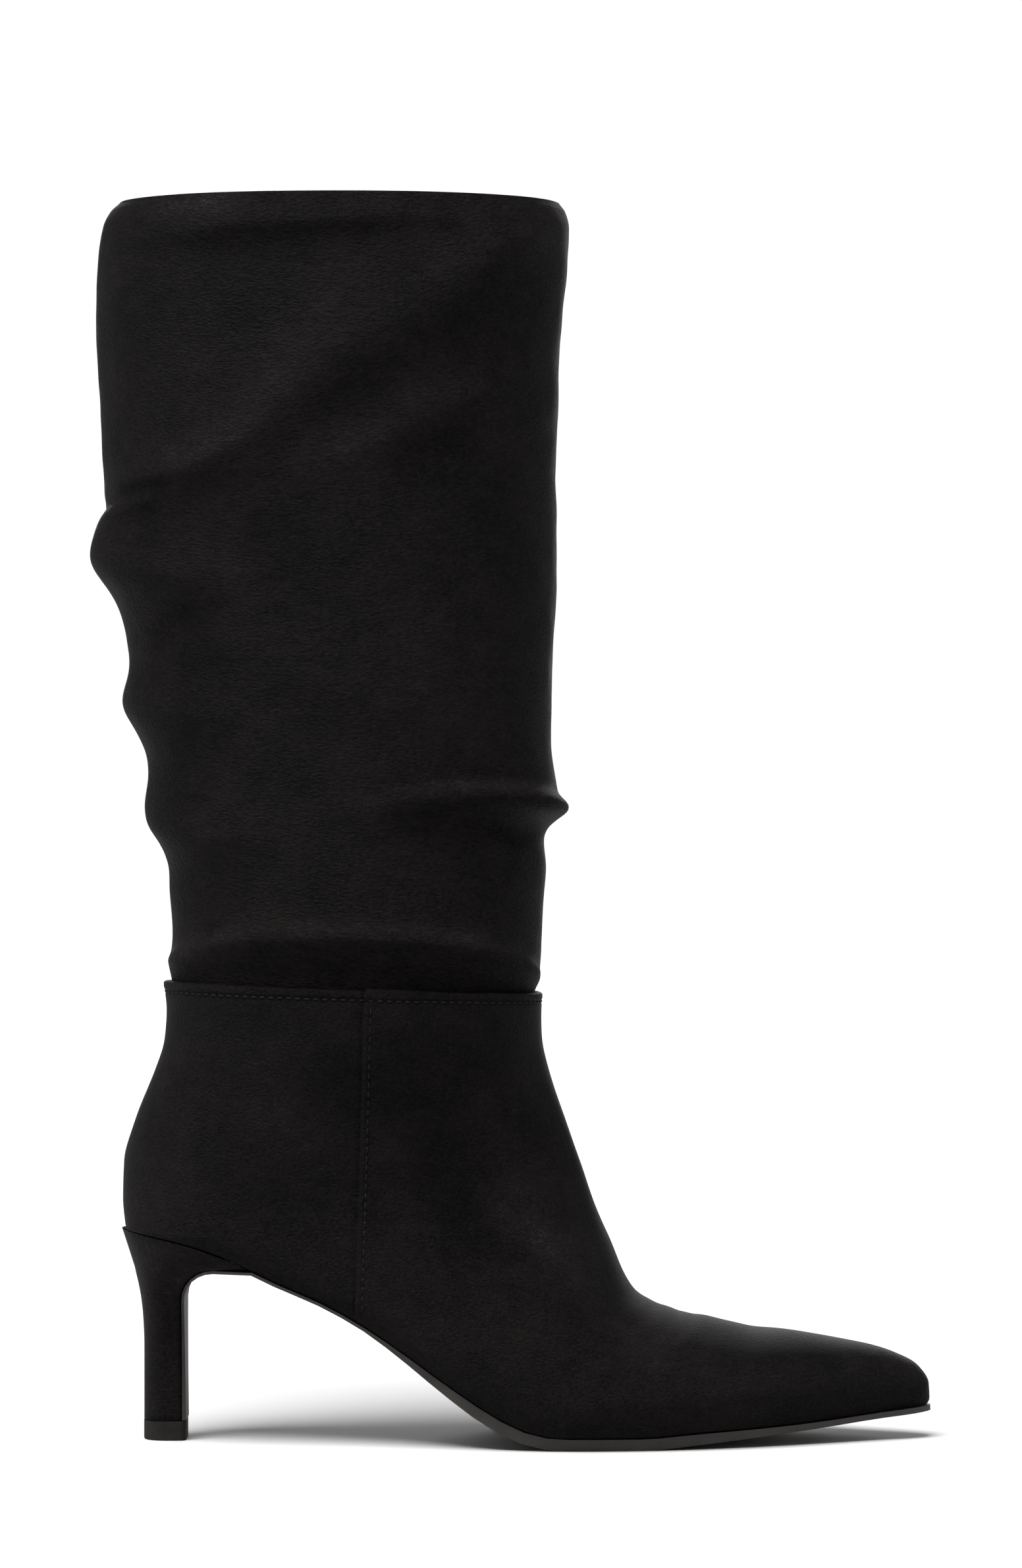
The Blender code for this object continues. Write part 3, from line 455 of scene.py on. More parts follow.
def sheet_mesh(name, grid, closed):
    """A mesh over a grid of rows, closed around or open at both edges."""
    rows, sides = grid.shape[:2]
    span = sides if closed else sides - 1
    row = np.repeat(np.arange(rows - 1), span)
    side = np.tile(np.arange(span), rows - 1)
    beside = (side + 1) % sides
    here, next_to = row * sides + side, row * sides + beside
    faces = np.stack([here, next_to, next_to + sides, here + sides], axis=1)
    mesh = bpy.data.meshes.new(name)
    mesh.from_pydata(grid.reshape(-1, 3).tolist(), [], faces.tolist())
    return mesh


def place_piece(name, mesh, material, slot, *nodes):
    """Sets a piece down where its CAD nodes stand and smooths its faces."""
    mesh.materials.append(material)
    mesh.shade_smooth()
    mesh.transform(Matrix.Translation((heel_back, middle_y, 0)))
    piece = bpy.data.objects.new(name, mesh)
    bpy.context.scene.collection.objects.link(piece)
    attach(piece, "root")
    if nodes:
        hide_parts(*nodes)
    return piece


# A patch of painted highlight on the outer side of the suede, in metres from the back
# of the heel and from the floor. lean tips its length up, in degrees, and a
# strength below zero makes it a patch of painted shade instead.
PaintedGleam = namedtuple("PaintedGleam", "x z long wide lean strength")


def suede(name, grain, stretch, slant, painted_gleams):
    """Black suede: fine nap over a pebbled grain, with painted highlights, lighter and smoother, and painted
    shade at the listed patches.
    """
    material, wire = start_material(name)
    place = wire.add("TexCoord", output=3)
    leaned = wire.add("Mapping", {"vector_type": "TEXTURE"}, {
        "Vector": place, "Rotation": (0, slant, 0), "Scale": stretch,
    })
    patches = wire.add("TexNoise", {}, {"Vector": place, "Scale": 42.0, "Detail": 4.0, "Roughness": 0.6})
    brushed = wire.add("TexNoise", {}, {"Vector": leaned, "Scale": 210.0, "Detail": 3.0, "Roughness": 0.6})
    pebbles = wire.add("TexNoise", {}, {"Vector": leaned, "Scale": grain, "Detail": 2.0, "Roughness": 0.6})
    nap = wire.add("TexNoise", {}, {"Vector": leaned, "Scale": grain * 3.2, "Detail": 2.0, "Roughness": 0.7})
    share = 0.47 + (patches - 0.5) * 1.2 + (brushed - 0.5) * 0.7 + (pebbles - 0.5) * 1.6 + (nap - 0.5) * 1.4
    along, side, up = place.split()
    # This sums the patches of painted highlight, less the patches of painted shade.
    painted_shine = 0.0
    for painted_gleam in painted_gleams:
        lean = math.radians(painted_gleam.lean)
        ahead = along - (heel_back + painted_gleam.x)
        above = up - painted_gleam.z
        far = (ahead * math.cos(lean) + above * math.sin(lean)) / painted_gleam.long
        wide = (above * math.cos(lean) - ahead * math.sin(lean)) / painted_gleam.wide
        painted_shine = painted_shine + painted_gleam.strength / wire.maths("POWER", math.e, far * far + wide * wide)
    # Painted highlights and shade go on the outer side of the boot only, fading out across the middle.
    outer_side = wire.add("MapRange", {}, {"Value": side, 1: middle_y + 0.004, 2: middle_y - 0.006})
    painted_shine = painted_shine * outer_side * (0.4 + pebbles * 1.2)
    # The last stop is the painted sheen colour, which the painted highlights reach.
    stops = [(0.0, SUEDE_DARK), (0.6, SUEDE_LIGHT), (1.0, SUEDE_PAINTED_GLEAM)]
    color = wire.add("ValToRGB", {"stops": stops}, {"Fac": share * 0.6 + painted_shine * 0.4})
    height = pebbles * 0.75 + nap * 0.35
    relief = wire.add("Bump", {}, {"Strength": 1.0, "Distance": GRAIN_DEPTH, "Height": height})
    surface = wire.add("BsdfPrincipled", {}, {
        "Base Color": color, "Roughness": 0.56 - nap * 0.1 - painted_shine * 0.08, "Specular IOR Level": 0.08,
        "Sheen Weight": 0.026, "Sheen Roughness": 0.24, "Sheen Tint": (0.86, 0.84, 1.0, 1.0),
        "Normal": relief,
    })
    wire.add("OutputMaterial", {}, {"Surface": surface})
    return material


heel_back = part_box("top_piece")[0].x - HEEL_SETBACK
middle_y = sum(corner.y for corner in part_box("top_piece")) / 2
# The vamp and quarter carry painted highlights, and painted shade where the strength is below zero.
foot_suede = suede("foot_suede", 1150.0, (1.2, 1.0, 0.8), 0.3, [
    PaintedGleam(0.129, 0.064, 0.015, 0.006, -40, 0.85),
    PaintedGleam(0.160, 0.038, 0.024, 0.008, -28, 0.28),
    PaintedGleam(0.178, 0.016, 0.045, 0.012, -8, 0.22),
    PaintedGleam(0.118, 0.092, 0.018, 0.006, -62, 0.30),
    PaintedGleam(0.103, 0.078, 0.028, 0.011, -68, -0.30),
    PaintedGleam(0.172, 0.042, 0.034, 0.008, -16, -0.55),
    PaintedGleam(0.150, 0.016, 0.030, 0.010, 0, -0.15),
])

edge_places = [0.0, 0.03, 0.07, 0.12, 0.18, 0.24, 0.28, 0.305, 0.33, 0.355, 0.38, 0.43, 0.5, 0.58]
ring_places = np.concatenate([edge_places, np.linspace(0.67, len(RINGS) - 1, RING_STEPS)])
rings = between(RINGS, ring_places)
spans = between(SPANS, np.linspace(0, len(SPANS) - 1, SPAN_STEPS + 1)[1:])
grid = [ring_section(rings, row, 0, UPPER_SIDES) for row in range(len(ring_places))]
grid += [span_section(spans, row, 0, UPPER_SIDES) for row in range(SPAN_STEPS)]
grid = blend_rows(np.stack(grid), len(ring_places), BLEND_SPREAD, BLEND_PASSES)
for row, place in enumerate(ring_places):
    pull = EDGE_GROOVE * math.exp(-(((place - EDGE_STITCH_DROP) / EDGE_GROOVE_WIDTH) ** 2))
    pull -= EDGE_SWELL * math.exp(-(((place - EDGE_SWELL_DROP) / EDGE_SWELL_WIDTH) ** 2))
    centre = grid[row].mean(axis=0)
    outward = grid[row] - centre
    grid[row, :, :2] -= pull * (outward / np.linalg.norm(outward, axis=1)[:, None])[:, :2]
stitch_path = grid[edge_places.index(EDGE_STITCH_DROP)].copy()
rolled = []
for turn in np.radians([180, 155, 130, 105, 80, 55, 30]):
    inset = UPPER_WALL / 2 * (1 - math.cos(turn))
    rise = UPPER_WALL / 2 * math.sin(turn)
    ring = ring_section(rings, 0, inset, UPPER_SIDES)
    rolled.append(ring + np.array([0, 0, rise - UPPER_WALL / 4]))
inner = [ring_section(rings, row, UPPER_WALL, UPPER_SIDES) for row in range(len(edge_places), 2, -2)]
grid = np.concatenate([np.stack(inner), np.stack(rolled), grid])

upper_mesh = sheet_mesh("upper", grid, False)
shape = bmesh.new()
shape.from_mesh(upper_mesh)
bmesh.ops.remove_doubles(shape, verts=shape.verts, dist=1e-6)
bmesh.ops.reverse_faces(shape, faces=shape.faces)

# The lap of the vamp on the quarter: how high it stands at each distance from
# the seam, in metres.
Lap = namedtuple("Lap", "away height")
LAPS = [
    Lap(-0.0020, 0.0), Lap(-0.0010, -0.00010), Lap(-0.0004, -0.00030), Lap(0.0000, -0.00035),
    Lap(0.0003, 0.00045), Lap(0.0006, 0.00075), Lap(0.0011, 0.00085), Lap(0.0016, 0.00078),
    Lap(0.0021, 0.00056), Lap(0.0026, 0.00070), Lap(0.0034, 0.00078),
]
seam_top = Vector((SEAM_TOP * FOOT_LENGTH, 0, HEEL_HEIGHT + ANKLE_RISE))
seam_foot = Vector((SEAM_FOOT * FOOT_LENGTH, 0, float(parting_z(SEAM_FOOT * FOOT_LENGTH))))
run = seam_top - seam_foot
across = Vector((run.z, 0, -run.x)).normalized()
for lap in LAPS:
    everything = list(shape.verts) + list(shape.edges) + list(shape.faces)
    spot = seam_foot + across * lap.away
    bmesh.ops.bisect_plane(shape, geom=everything, plane_co=spot, plane_no=across, dist=1e-5)
shape.normal_update()
spots = np.array([vert.co for vert in shape.verts])
normals = np.array([vert.normal for vert in shape.verts])
places = column(LAPS, "away")
away = (spots - np.array(seam_foot)) @ np.array(across)
over = spots[:, 2] - parting_z(spots[:, 0]) - GAP
height = np.interp(away, places, column(LAPS, "height"))
height *= np.exp(-((np.maximum(away - places[-1], 0) / SEAM_FADE) ** 2)) * np.clip(over / LAP_START, 0, 1)
for crease in VAMP_CREASES:
    start = np.array((crease.x, crease.z)) * FOOT_LENGTH
    step = np.array((crease.end_x, crease.end_z)) * FOOT_LENGTH - start
    flat = spots[:, [0, 2]] - start
    share = np.clip(flat @ step / (step @ step), 0, 1)
    gone = np.linalg.norm(flat - share[:, None] * step, axis=1) / (crease.wide * FOOT_LENGTH * 2)
    there = crease.side * spots[:, 1] >= 0
    height += there * crease.depth * np.exp(-(gone**2)) * np.clip(over / CREASE_START, 0, 1)
uneven = np.array([noise.noise(Vector(spot) * UNEVEN_SCALE) for spot in spots])
height += UNEVEN_DEPTH * uneven * np.clip(over / UNEVEN_START, 0, 1)
for vert, spot in zip(shape.verts, spots + normals * height[:, None]):
    vert.co = spot
skin = BVHTree.FromBMesh(shape)
shape.to_mesh(upper_mesh)
shape.free()
place_piece("suede_upper", upper_mesh, foot_suede, "suede", "upper")

# Sole, heel, top piece and insole: a thin cemented rubber sheet that turns down
# the breast, a heel block covered in the same suede, a rubber wear piece pinned
# under it, and a cloth sock on the insole board.
SOLE_DARK = (0.036, 0.032, 0.028)
SOLE_LIGHT = (0.060, 0.054, 0.047)
WEAR_DARK = (0.017, 0.016, 0.015)
WEAR_LIGHT = (0.031, 0.029, 0.027)
CLOTH_DARK = (0.010, 0.0095, 0.0095)
CLOTH_LIGHT = (0.022, 0.021, 0.021)


def rubber(name, dark, light, roughness, gloss):
    """Moulded dark grey rubber: satin, faintly mottled, with a fine tooth."""
    material, wire = start_material(name)
    place = wire.add("TexCoord", output=3)
    mottle = wire.add("TexNoise", {}, {"Vector": place, "Scale": 160.0, "Detail": 5.0, "Roughness": 0.65})
    tooth = wire.add("TexNoise", {}, {"Vector": place, "Scale": 2600.0, "Detail": 2.0})
    color = wire.add("ValToRGB", {"stops": [(0.3, dark), (0.75, light)]}, {"Fac": mottle})
    relief = wire.add("Bump", {}, {"Strength": 0.35, "Distance": 0.0001, "Height": tooth})
    wire.add("OutputMaterial", {}, {"Surface": wire.add("BsdfPrincipled", {}, {
        "Base Color": color, "Roughness": roughness + mottle * 0.2, "Specular IOR Level": gloss,
        "Normal": relief,
    })})
    return material


def cloth(name):
    """Fine woven black lining."""
    material, wire = start_material(name)
    place = wire.add("TexCoord", output=3)
    along, side, up = place.split()
    warp = wire.maths("SINE", (along + side) * 9000.0)
    weft = wire.maths("SINE", up * 9000.0)
    weave = warp * weft * 0.5 + 0.5
    color = wire.add("ValToRGB", {"stops": [(0.0, CLOTH_DARK), (1.0, CLOTH_LIGHT)]}, {"Fac": weave})
    relief = wire.add("Bump", {}, {"Strength": 0.5, "Distance": 0.0001, "Height": weave})
    wire.add("OutputMaterial", {}, {"Surface": wire.add("BsdfPrincipled", {}, {
        "Base Color": color, "Roughness": 0.9, "Specular IOR Level": 0.15, "Normal": relief,
    })})
    return material


lining_cloth = cloth("lining_cloth")
for node, material in [
    ("outsole", rubber("sole_rubber", SOLE_DARK, SOLE_LIGHT, 0.42, 0.42)),
    ("top_piece", rubber("wear_rubber", WEAR_DARK, WEAR_LIGHT, 0.60, 0.15)),
    ("insole", lining_cloth),
]:
    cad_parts[node].data.materials.clear()
    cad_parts[node].data.materials.append(material)

# Heel block, moulded and covered in one piece of suede drawn down from the seat.
# It is round at the back and flat at the breast, where the sole sheet covers it.
HEEL_LENGTH = 0.0122
BREAST_RADIUS = 0.0100
HEEL_LIP = 0.0211
LIP_SHARE = 0.59
TOP_PIECE_HEIGHT = 0.0060
SEAT_REVEAL = 0.0004
STEM_MIDDLE = 0.55
BREAST_CURVE = 0.18
BACK_CURVE = 0.90
HEEL_SIDES = 120
Stem = namedtuple("Stem", "height setback half")
STEMS = [
    Stem(0.000, 1.00, 0.158),
    Stem(0.300, 1.00, 0.170),
    Stem(0.450, 1.00, 0.186),
    Stem(0.580, 0.95, 0.210),
    Stem(0.670, 0.86, 0.246),
    Stem(0.740, 0.74, 0.298),
    Stem(0.790, 0.63, 0.352),
    Stem(0.830, 0.55, 0.400),
]


def stem_ring(z, front):
    """A level section of the heel at height z, from its back to the breast."""
    heights = column(STEMS, "height") * HEEL_HEIGHT
    back = float(follow(heights, column(STEMS, "setback"), z)) * HEEL_SETBACK
    half = float(follow(heights, column(STEMS, "half"), z)) * SEAT_WIDTH
    middle = back + (front - back) * STEM_MIDDLE
    angles = 2 * np.pi * (np.arange(HEEL_SIDES) + 0.5) / HEEL_SIDES
    ahead, beside = np.cos(angles), np.sin(angles)
    power = np.where(ahead > 0, BREAST_CURVE, BACK_CURVE)
    reach = np.where(ahead > 0, front - middle, middle - back)
    x = middle + np.sign(ahead) * np.abs(ahead) ** power * reach
    return np.stack([x, np.sign(beside) * np.abs(beside) ** power * half, np.full(HEEL_SIDES, z)], 1)


def seat_ring(front):
    """The edge of the heel under the seat, along the outline of the sole."""
    angles = 2 * np.pi * (np.arange(HEEL_SIDES) + 0.5) / HEEL_SIDES
    ahead, beside = np.cos(angles), np.sin(angles)
    middle = SEAT_WIDTH / 2
    to_breast = middle + np.abs(ahead) ** BREAST_CURVE * (front - middle)
    x = np.where(ahead > 0, to_breast, middle + ahead * middle)
    reach = np.where(ahead > 0, np.abs(beside) ** BREAST_CURVE, 1)
    half = np.where(beside < 0, sole_half(x, -1), sole_half(x, 1)) - SEAT_REVEAL
    return np.stack([x, np.sign(beside) * reach * half, parting_z(x) - GAP / 2], 1)


breast_x = HEEL_SETBACK + HEEL_LENGTH + BREAST_RADIUS
ledge = float(parting_z(breast_x + HEEL_LIP * LIP_SHARE)) - GAP / 2
turns = np.linspace(math.pi / 2, 0, 15)[:-1]
radius = BREAST_RADIUS + GAP / 6
fronts = [(breast_x - radius, z) for z in np.linspace(TOP_PIECE_HEIGHT + GAP, ledge - BREAST_RADIUS, 22)[:-1]]
for turn in turns:
    fronts.append((breast_x - radius * math.sin(turn), ledge - BREAST_RADIUS + radius * math.cos(turn)))
rings = [stem_ring(z, front) for front, z in fronts]
seat = seat_ring(HEEL_SETBACK + HEEL_LENGTH + HEEL_LIP)
for share in np.linspace(0, 1, 14)[1:]:
    ring = rings[len(fronts) - 1] * (1 - share) + seat * share
    ring[:, 2] = np.maximum(ring[:, 2], ledge + GAP / 6)
    rings.append(ring)
foot = rings[0].copy()
foot[:, :2] = foot[:, :2].mean(axis=0) + (foot[:, :2] - foot[:, :2].mean(axis=0)) * 0.2
# A painted highlight runs up the back of the heel on its outer side.
heel_suede = suede("heel_suede", 1150.0, (1.2, 1.0, 0.8), 0.2, [PaintedGleam(0.012, 0.030, 0.060, 0.030, 90, 0.40)])
heel_mesh = sheet_mesh("covered_heel", np.stack([foot] + rings), True)
place_piece("covered_heel", heel_mesh, heel_suede, "suede", "heel")

# Shaft, a loose tube of soft suede with a cloth lining, closed at the back and
# tucked inside the ankle edge, where it is sewn. It has slumped into folds, and
# its collar is turned in. Each fold is a row: a ridge with the groove under it.
BOOT_HEIGHT = 0.3818
SHAFT_DEPTH = 0.1440
SHAFT_WIDTH = 0.0900
SHAFT_TUCK = 0.0075
FOLD_DEPTH = 0.0050
SHAFT_WALL = 0.0020
SHAFT_SIDES = 252
SHAFT_ROWS = 300
FOLD_SAG = 0.25
FOLD_START = 0.03
FOLD_END = 0.05
GROOVE_DROP = 2.0
GROOVE_WIDTH = 0.8
SHAFT_CURVE = 2.05
COLLAR_ROUND = 0.006
COLLAR_ROWS = 14
COLLAR_RISE = 0.0005

# Sections of the shaft over the ankle edge: level is a share of the way to the
# collar, tilt lowers the front, back and front are shares of the shaft depth,
# half of its width.
Level = namedtuple("Level", "level tilt back front half")
LEVELS = [
    Level(0.020, 1.00, 0.106, 0.896, 0.398),
    Level(0.070, 0.90, 0.108, 0.903, 0.410),
    Level(0.150, 0.70, 0.094, 0.912, 0.424),
    Level(0.215, 0.50, 0.078, 0.918, 0.434),
    Level(0.275, 0.30, 0.056, 0.922, 0.446),
    Level(0.395, 0.00, 0.022, 0.925, 0.462),
    Level(0.520, 0.00, -0.016, 0.935, 0.476),
    Level(0.620, 0.00, -0.034, 0.934, 0.486),
    Level(0.740, 0.00, -0.048, 0.937, 0.494),
    Level(0.850, 0.00, -0.055, 0.946, 0.500),
    Level(0.930, 0.00, -0.051, 0.960, 0.500),
    Level(0.970, 0.00, -0.041, 0.962, 0.490),
    Level(0.990, 0.00, -0.024, 0.954, 0.470),
    Level(1.000, 0.00, -0.006, 0.942, 0.458),
]

# turn runs from the front over the outer side (90), the back (180) and the
# inner side (270). level is the height of the ridge at its turn, slope and bend
# its climb and curve for each right angle, reach how far it runs to each side,
# above and below its half heights, depth its push as a share of the fold depth,
# and under the share of that taken off in the groove below.
Fold = namedtuple("Fold", "turn level slope bend reach above below depth under")
FOLDS = [
    Fold(60, 0.880, -0.300, 0.00, 58, 0.050, 0.060, 0.55, 0.10),
    Fold(104, 0.752, -0.440, 0.00, 38, 0.045, 0.090, 0.66, 0.00),
    Fold(138, 0.644, -0.150, 0.00, 46, 0.045, 0.030, 0.72, 0.10),
    Fold(158, 0.620, -0.060, 0.00, 36, 0.012, 0.010, -0.48, 0.00),
    Fold(108, 0.935, -0.030, 0.00, 66, 0.022, 0.030, -0.50, 0.00),
    Fold(92, 0.662, -0.100, 0.00, 32, 0.030, 0.075, 0.34, 0.00),
    Fold(92, 0.074, 0.000, -0.058, 116, 0.009, 0.034, 0.46, 0.00),
    Fold(182, 0.549, 0.020, -0.02, 84, 0.048, 0.044, 1.22, 0.05),
    Fold(148, 0.452, -0.060, 0.02, 36, 0.016, 0.018, -0.35, 0.00),
    Fold(176, 0.362, 0.030, 0.02, 74, 0.032, 0.040, 0.85, 0.12),
    Fold(172, 0.214, 0.050, 0.02, 70, 0.042, 0.034, 0.80, 0.20),
    Fold(4, 0.236, 0.010, -0.020, 48, 0.034, 0.017, 0.60, 0.35),
    Fold(30, 0.250, 0.020, -0.077, 66, 0.009, 0.024, 0.80, 0.35),
    Fold(112, 0.985, 0.000, 0.00, 44, 0.014, 0.020, 0.16, 0.00),
    Fold(92, 0.076, 0.000, -0.058, 104, 0.020, 0.030, 0.42, 0.15),
    Fold(28, 0.730, -0.060, 0.00, 30, 0.030, 0.020, 0.22, 0.40),
    Fold(58, 0.738, -0.165, 0.00, 45, 0.030, 0.030, 0.40, 0.40),
    Fold(95, 0.400, 0.160, 0.05, 60, 0.050, 0.040, 0.16, 0.60),
    Fold(262, 0.760, 0.240, 0.00, 84, 0.044, 0.032, 0.80, 0.70),
    Fold(288, 0.500, -0.160, 0.00, 76, 0.040, 0.028, 0.70, 0.60),
    Fold(300, 0.255, 0.060, -0.05, 70, 0.026, 0.020, 0.75, 0.65),
    Fold(268, 0.075, -0.010, -0.05, 84, 0.020, 0.016, 0.60, 0.70),
    Fold(225, 0.410, -0.180, 0.00, 40, 0.034, 0.024, 0.45, 0.60),
]

# Slight unevenness of the hide over the whole shaft, in metres and waves a metre.
Ripple = namedtuple("Ripple", "depth scale")
RIPPLES = [Ripple(0.00045, 45), Ripple(0.00020, 130)]
RIPPLE_START = 0.01


def fold_push(turn, level):
    """How far the folds push the shaft out, at a turn and a level."""
    push = np.zeros_like(turn)
    for fold in FOLDS:
        away = (turn - fold.turn + 180) % 360 - 180
        near = np.clip(1 - (away / fold.reach) ** 2, 0, 1) ** 1.5
        off = level - fold.level - fold.slope * away / 90 - fold.bend * (away / 90) ** 2
        ridge = np.exp(-((off / np.where(off > 0, fold.above, fold.below)) ** 2))
        groove = fold.under * np.exp(-(((off + fold.below * GROOVE_DROP) / (fold.below * GROOVE_WIDTH)) ** 2))
        push += fold.depth * FOLD_DEPTH * near * (ridge - groove)
    return push


def shaft_rows(at, sides, inset):
    """Sections of the shaft at the heights at, drawn in by inset."""
    tucked = between(RINGS, np.linspace(0, 7, 64))
    edge_z = HEEL_HEIGHT + ANKLE_RISE
    drop = HEEL_HEIGHT + tucked["back_z"] * ANKLE_RISE
    seat = int(np.argmin(np.abs(drop - (edge_z - SHAFT_TUCK))))
    shapes = []
    for row in (seat, 0):
        shapes.append((
            drop[row], tucked["back_x"][row] * FOOT_LENGTH + UPPER_WALL + 2 * GAP,
            tucked["front_x"][row] * FOOT_LENGTH - UPPER_WALL - 2 * GAP,
            tucked["half"][row] * ANKLE_WIDTH - UPPER_WALL - 2 * GAP,
            (tucked["back_z"][row] - tucked["front_z"][row]) * ANKLE_RISE,
        ))
    tilt = (RINGS[0].back_z - RINGS[0].front_z) * ANKLE_RISE
    for level in LEVELS:
        shapes.append((
            edge_z + level.level * (BOOT_HEIGHT - edge_z), level.back * SHAFT_DEPTH,
            level.front * SHAFT_DEPTH, level.half * SHAFT_WIDTH, level.tilt * tilt,
        ))
    shapes = np.array(shapes)
    back, front, half, lean = (follow(shapes[:, 0], shapes[:, part], at) for part in range(1, 5))
    rows = []
    for row, z in enumerate(at):
        points = section(
            (back[row] + inset, z), (front[row] - inset, z - lean[row]), (half[row] - inset,) * 2,
            (0, 0), (0, 0), 0.5, SHAFT_CURVE, SHAFT_CURVE, sides,
        )[:-1]
        middle, deep = (back[row] + front[row]) / 2, (front[row] - back[row]) / 2
        turn = np.degrees(np.arctan2(-points[:, 1] / half[row], (points[:, 0] - middle) / deep)) % 360
        level = (z - edge_z) / (BOOT_HEIGHT - edge_z)
        push = fold_push(turn, np.full(sides, level))
        push *= np.clip(level / FOLD_START, 0, 1) * np.clip((1 - level) / FOLD_END, 0, 1)
        outward = np.stack([(points[:, 0] - middle) / deep**2, points[:, 1] / half[row] ** 2], axis=1)
        outward /= np.linalg.norm(outward, axis=1)[:, None]
        points[:, :2] += outward * push[:, None]
        points[:, 2] -= FOLD_SAG * np.maximum(push, 0)
        rows.append(points)
    return np.stack(rows)


# The shaft carries painted highlights on its collar and on the tops of its folds, and a painted shade under
# the collar.
shaft_suede = suede("shaft_suede", 900.0, (1.5, 1.2, 0.62), 0.1, [
    PaintedGleam(0.026, 0.3785, 0.018, 0.0045, 2, 0.75),
    PaintedGleam(0.134, 0.372, 0.009, 0.007, 0, 0.45),
    PaintedGleam(0.055, 0.331, 0.030, 0.010, 60, 0.26),
    PaintedGleam(0.075, 0.305, 0.018, 0.009, 20, 0.55),
    PaintedGleam(0.022, 0.304, 0.018, 0.005, 22, 0.55),
    PaintedGleam(0.116, 0.315, 0.018, 0.010, 15, 0.35),
    PaintedGleam(0.028, 0.345, 0.034, 0.020, 50, -0.22),
    PaintedGleam(0.113, 0.2025, 0.020, 0.0020, 0, 0.70),
    PaintedGleam(0.030, 0.1552, 0.016, 0.0022, 16, 0.45),
    PaintedGleam(0.063, 0.1590, 0.018, 0.0028, 0, 0.55),
    PaintedGleam(0.101, 0.1560, 0.022, 0.0022, -12, 0.40),
])
low_z = HEEL_HEIGHT + ANKLE_RISE - SHAFT_TUCK
crown = COLLAR_ROUND * np.cos(np.linspace(0, math.pi / 2, COLLAR_ROWS + 1)[1:])
wall_heights = np.linspace(low_z, BOOT_HEIGHT - COLLAR_ROUND, SHAFT_ROWS - COLLAR_ROWS)
heights = np.concatenate([wall_heights, BOOT_HEIGHT - crown])
outer = shaft_rows(heights, SHAFT_SIDES, 0)
rim = outer[-1]
middle = rim.mean(axis=0)
inward = (middle - rim) / np.linalg.norm(middle - rim, axis=1)[:, None]
rolled = [
    rim + inward * SHAFT_WALL / 2 * (1 - math.cos(turn)) + np.array([0, 0, COLLAR_RISE * math.sin(turn)])
    for turn in np.radians([30, 60, 90, 120, 150, 180])
]
outer = np.concatenate([outer, np.stack(rolled)])
lean_out = outer - outer.mean(axis=1, keepdims=True)
lean_out[..., 2] = 0
lean_out /= np.linalg.norm(lean_out, axis=2, keepdims=True)
ripple = np.array([
    sum(wave.depth * noise.noise(Vector(spot) * wave.scale) for wave in RIPPLES)
    for spot in outer.reshape(-1, 3)
]).reshape(outer.shape[:2])
ripple *= np.clip((outer[..., 2] - low_z - SHAFT_TUCK) / RIPPLE_START, 0, 1)
shaft_mesh = sheet_mesh("shaft", outer + lean_out * ripple[..., None], True)
place_piece("suede_shaft", shaft_mesh, shaft_suede, "suede", "shaft")

inner = shaft_rows(np.linspace(low_z, BOOT_HEIGHT - 0.0003, 130)[::-1], 112, SHAFT_WALL)
lining_mesh = sheet_mesh("shaft_lining", inner, True)
place_piece("shaft_lining", lining_mesh, lining_cloth, "lining")

# Topstitching in black thread: one row round the folded ankle edge and one down
# each side seam, through the vamp's lap. Each stitch is a short bead of thread
# that dips into its holes.
THREAD_COLOR = (0.0054, 0.0049, 0.0048)
STITCH_PITCH = 0.0028
STITCH_LENGTH = 0.0021
THREAD_RADIUS = 0.00026


def sew(path, pitch):
    """Middles and directions of the stitches along a path on the skin."""
    lengths = np.concatenate([[0], np.cumsum(np.linalg.norm(np.diff(path, axis=0), axis=1))])
    count = int(lengths[-1] / pitch)
    at = (np.arange(count) + 0.5) * lengths[-1] / count
    middles, runs = [], []
    for place in at:
        here, ahead = (
            Vector([np.interp(place + step, lengths, path[:, axis]) for axis in range(3)])
            for step in (0, pitch / 8)
        )
        middles.append(here)
        runs.append((ahead - here).normalized())
    return list(zip(middles, runs))


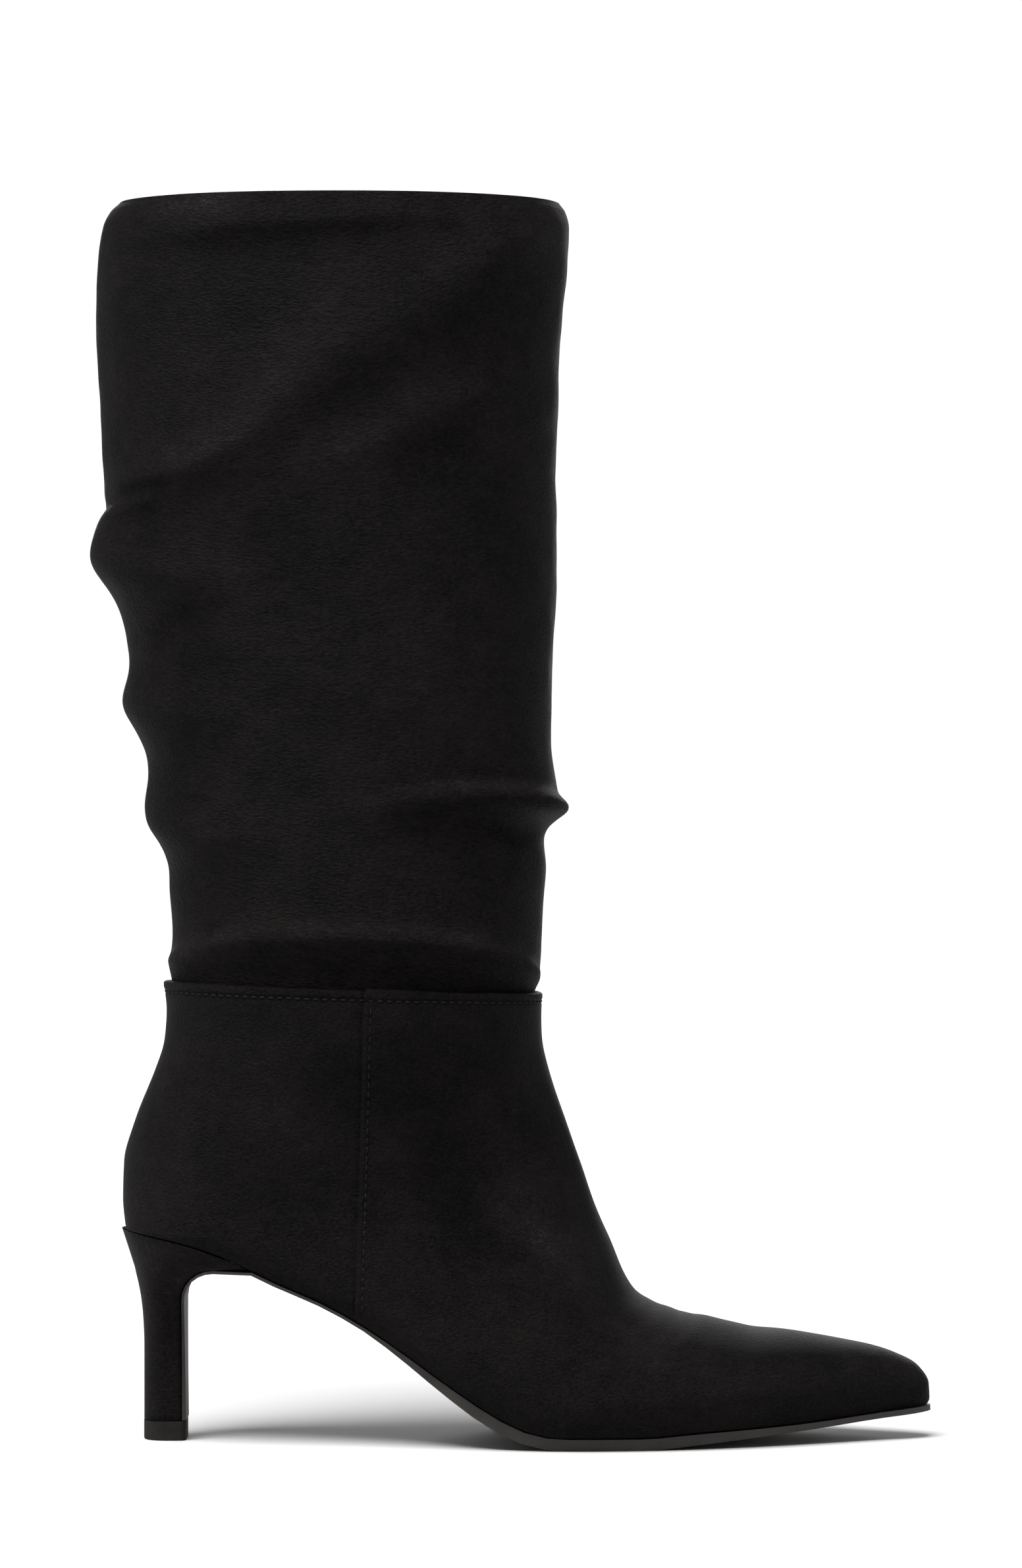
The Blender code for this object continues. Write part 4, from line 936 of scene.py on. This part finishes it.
def stitch_mesh(name, stitches):
    """One mesh of thread beads, laid along their runs on the skin."""
    points, faces = [], []
    around, along = 8, 7
    for middle, run in stitches:
        spot, facing = skin.find_nearest(middle)[:2]
        if facing.dot(spot - Vector((0.3 * FOOT_LENGTH, 0, spot.z))) < 0:
            facing = -facing
        side = run.cross(facing).normalized()
        base = len(points)
        for row in range(along):
            share = row / (along - 1) * 2 - 1
            thick = THREAD_RADIUS * math.sqrt(max(1.02 - share**4, 0))
            centre = spot + run * (share * STITCH_LENGTH / 2) + facing * (THREAD_RADIUS * (0.55 - share**2))
            for turn in np.linspace(0, 2 * math.pi, around, endpoint=False):
                round_by = facing * (math.cos(turn) * thick) + side * (math.sin(turn) * thick * 1.2)
                points.append(centre + round_by)
        for row in range(along - 1):
            for turn in range(around):
                here, beside = base + row * around + turn, base + row * around + (turn + 1) % around
                faces.append((here, beside, beside + around, here + around))
    mesh = bpy.data.meshes.new(name)
    mesh.from_pydata([tuple(point) for point in points], [], faces)
    return mesh


thread, wire = start_material("black_thread")
place = wire.add("TexCoord", output=3)
twist = wire.add("TexNoise", {}, {"Vector": place, "Scale": 3000.0, "Detail": 1.0})
wire.add("OutputMaterial", {}, {"Surface": wire.add("BsdfPrincipled", {}, {
    "Base Color": (*THREAD_COLOR, 1), "Roughness": 0.5 + twist * 0.2, "Specular IOR Level": 0.25,
    "Normal": wire.add("Bump", {}, {"Strength": 0.6, "Distance": 0.0001, "Height": twist}),
})})
place_piece("ankle_stitches", stitch_mesh("ankle_stitches", sew(stitch_path, STITCH_PITCH)), thread, "suede")
for side, name in [(-1, "outer_seam_stitches"), (1, "inner_seam_stitches")]:
    path = []
    for share in np.linspace(0.03, 0.965, 60):
        spot = seam_foot + run * share + across * SEAM_STITCH
        spot.y = side * 0.09
        hit = skin.ray_cast(spot, Vector((0, -side, 0)))[0]
        if hit is not None:
            path.append(hit)
    place_piece(name, stitch_mesh(name, sew(np.array(path), STITCH_PITCH)), thread, "suede")
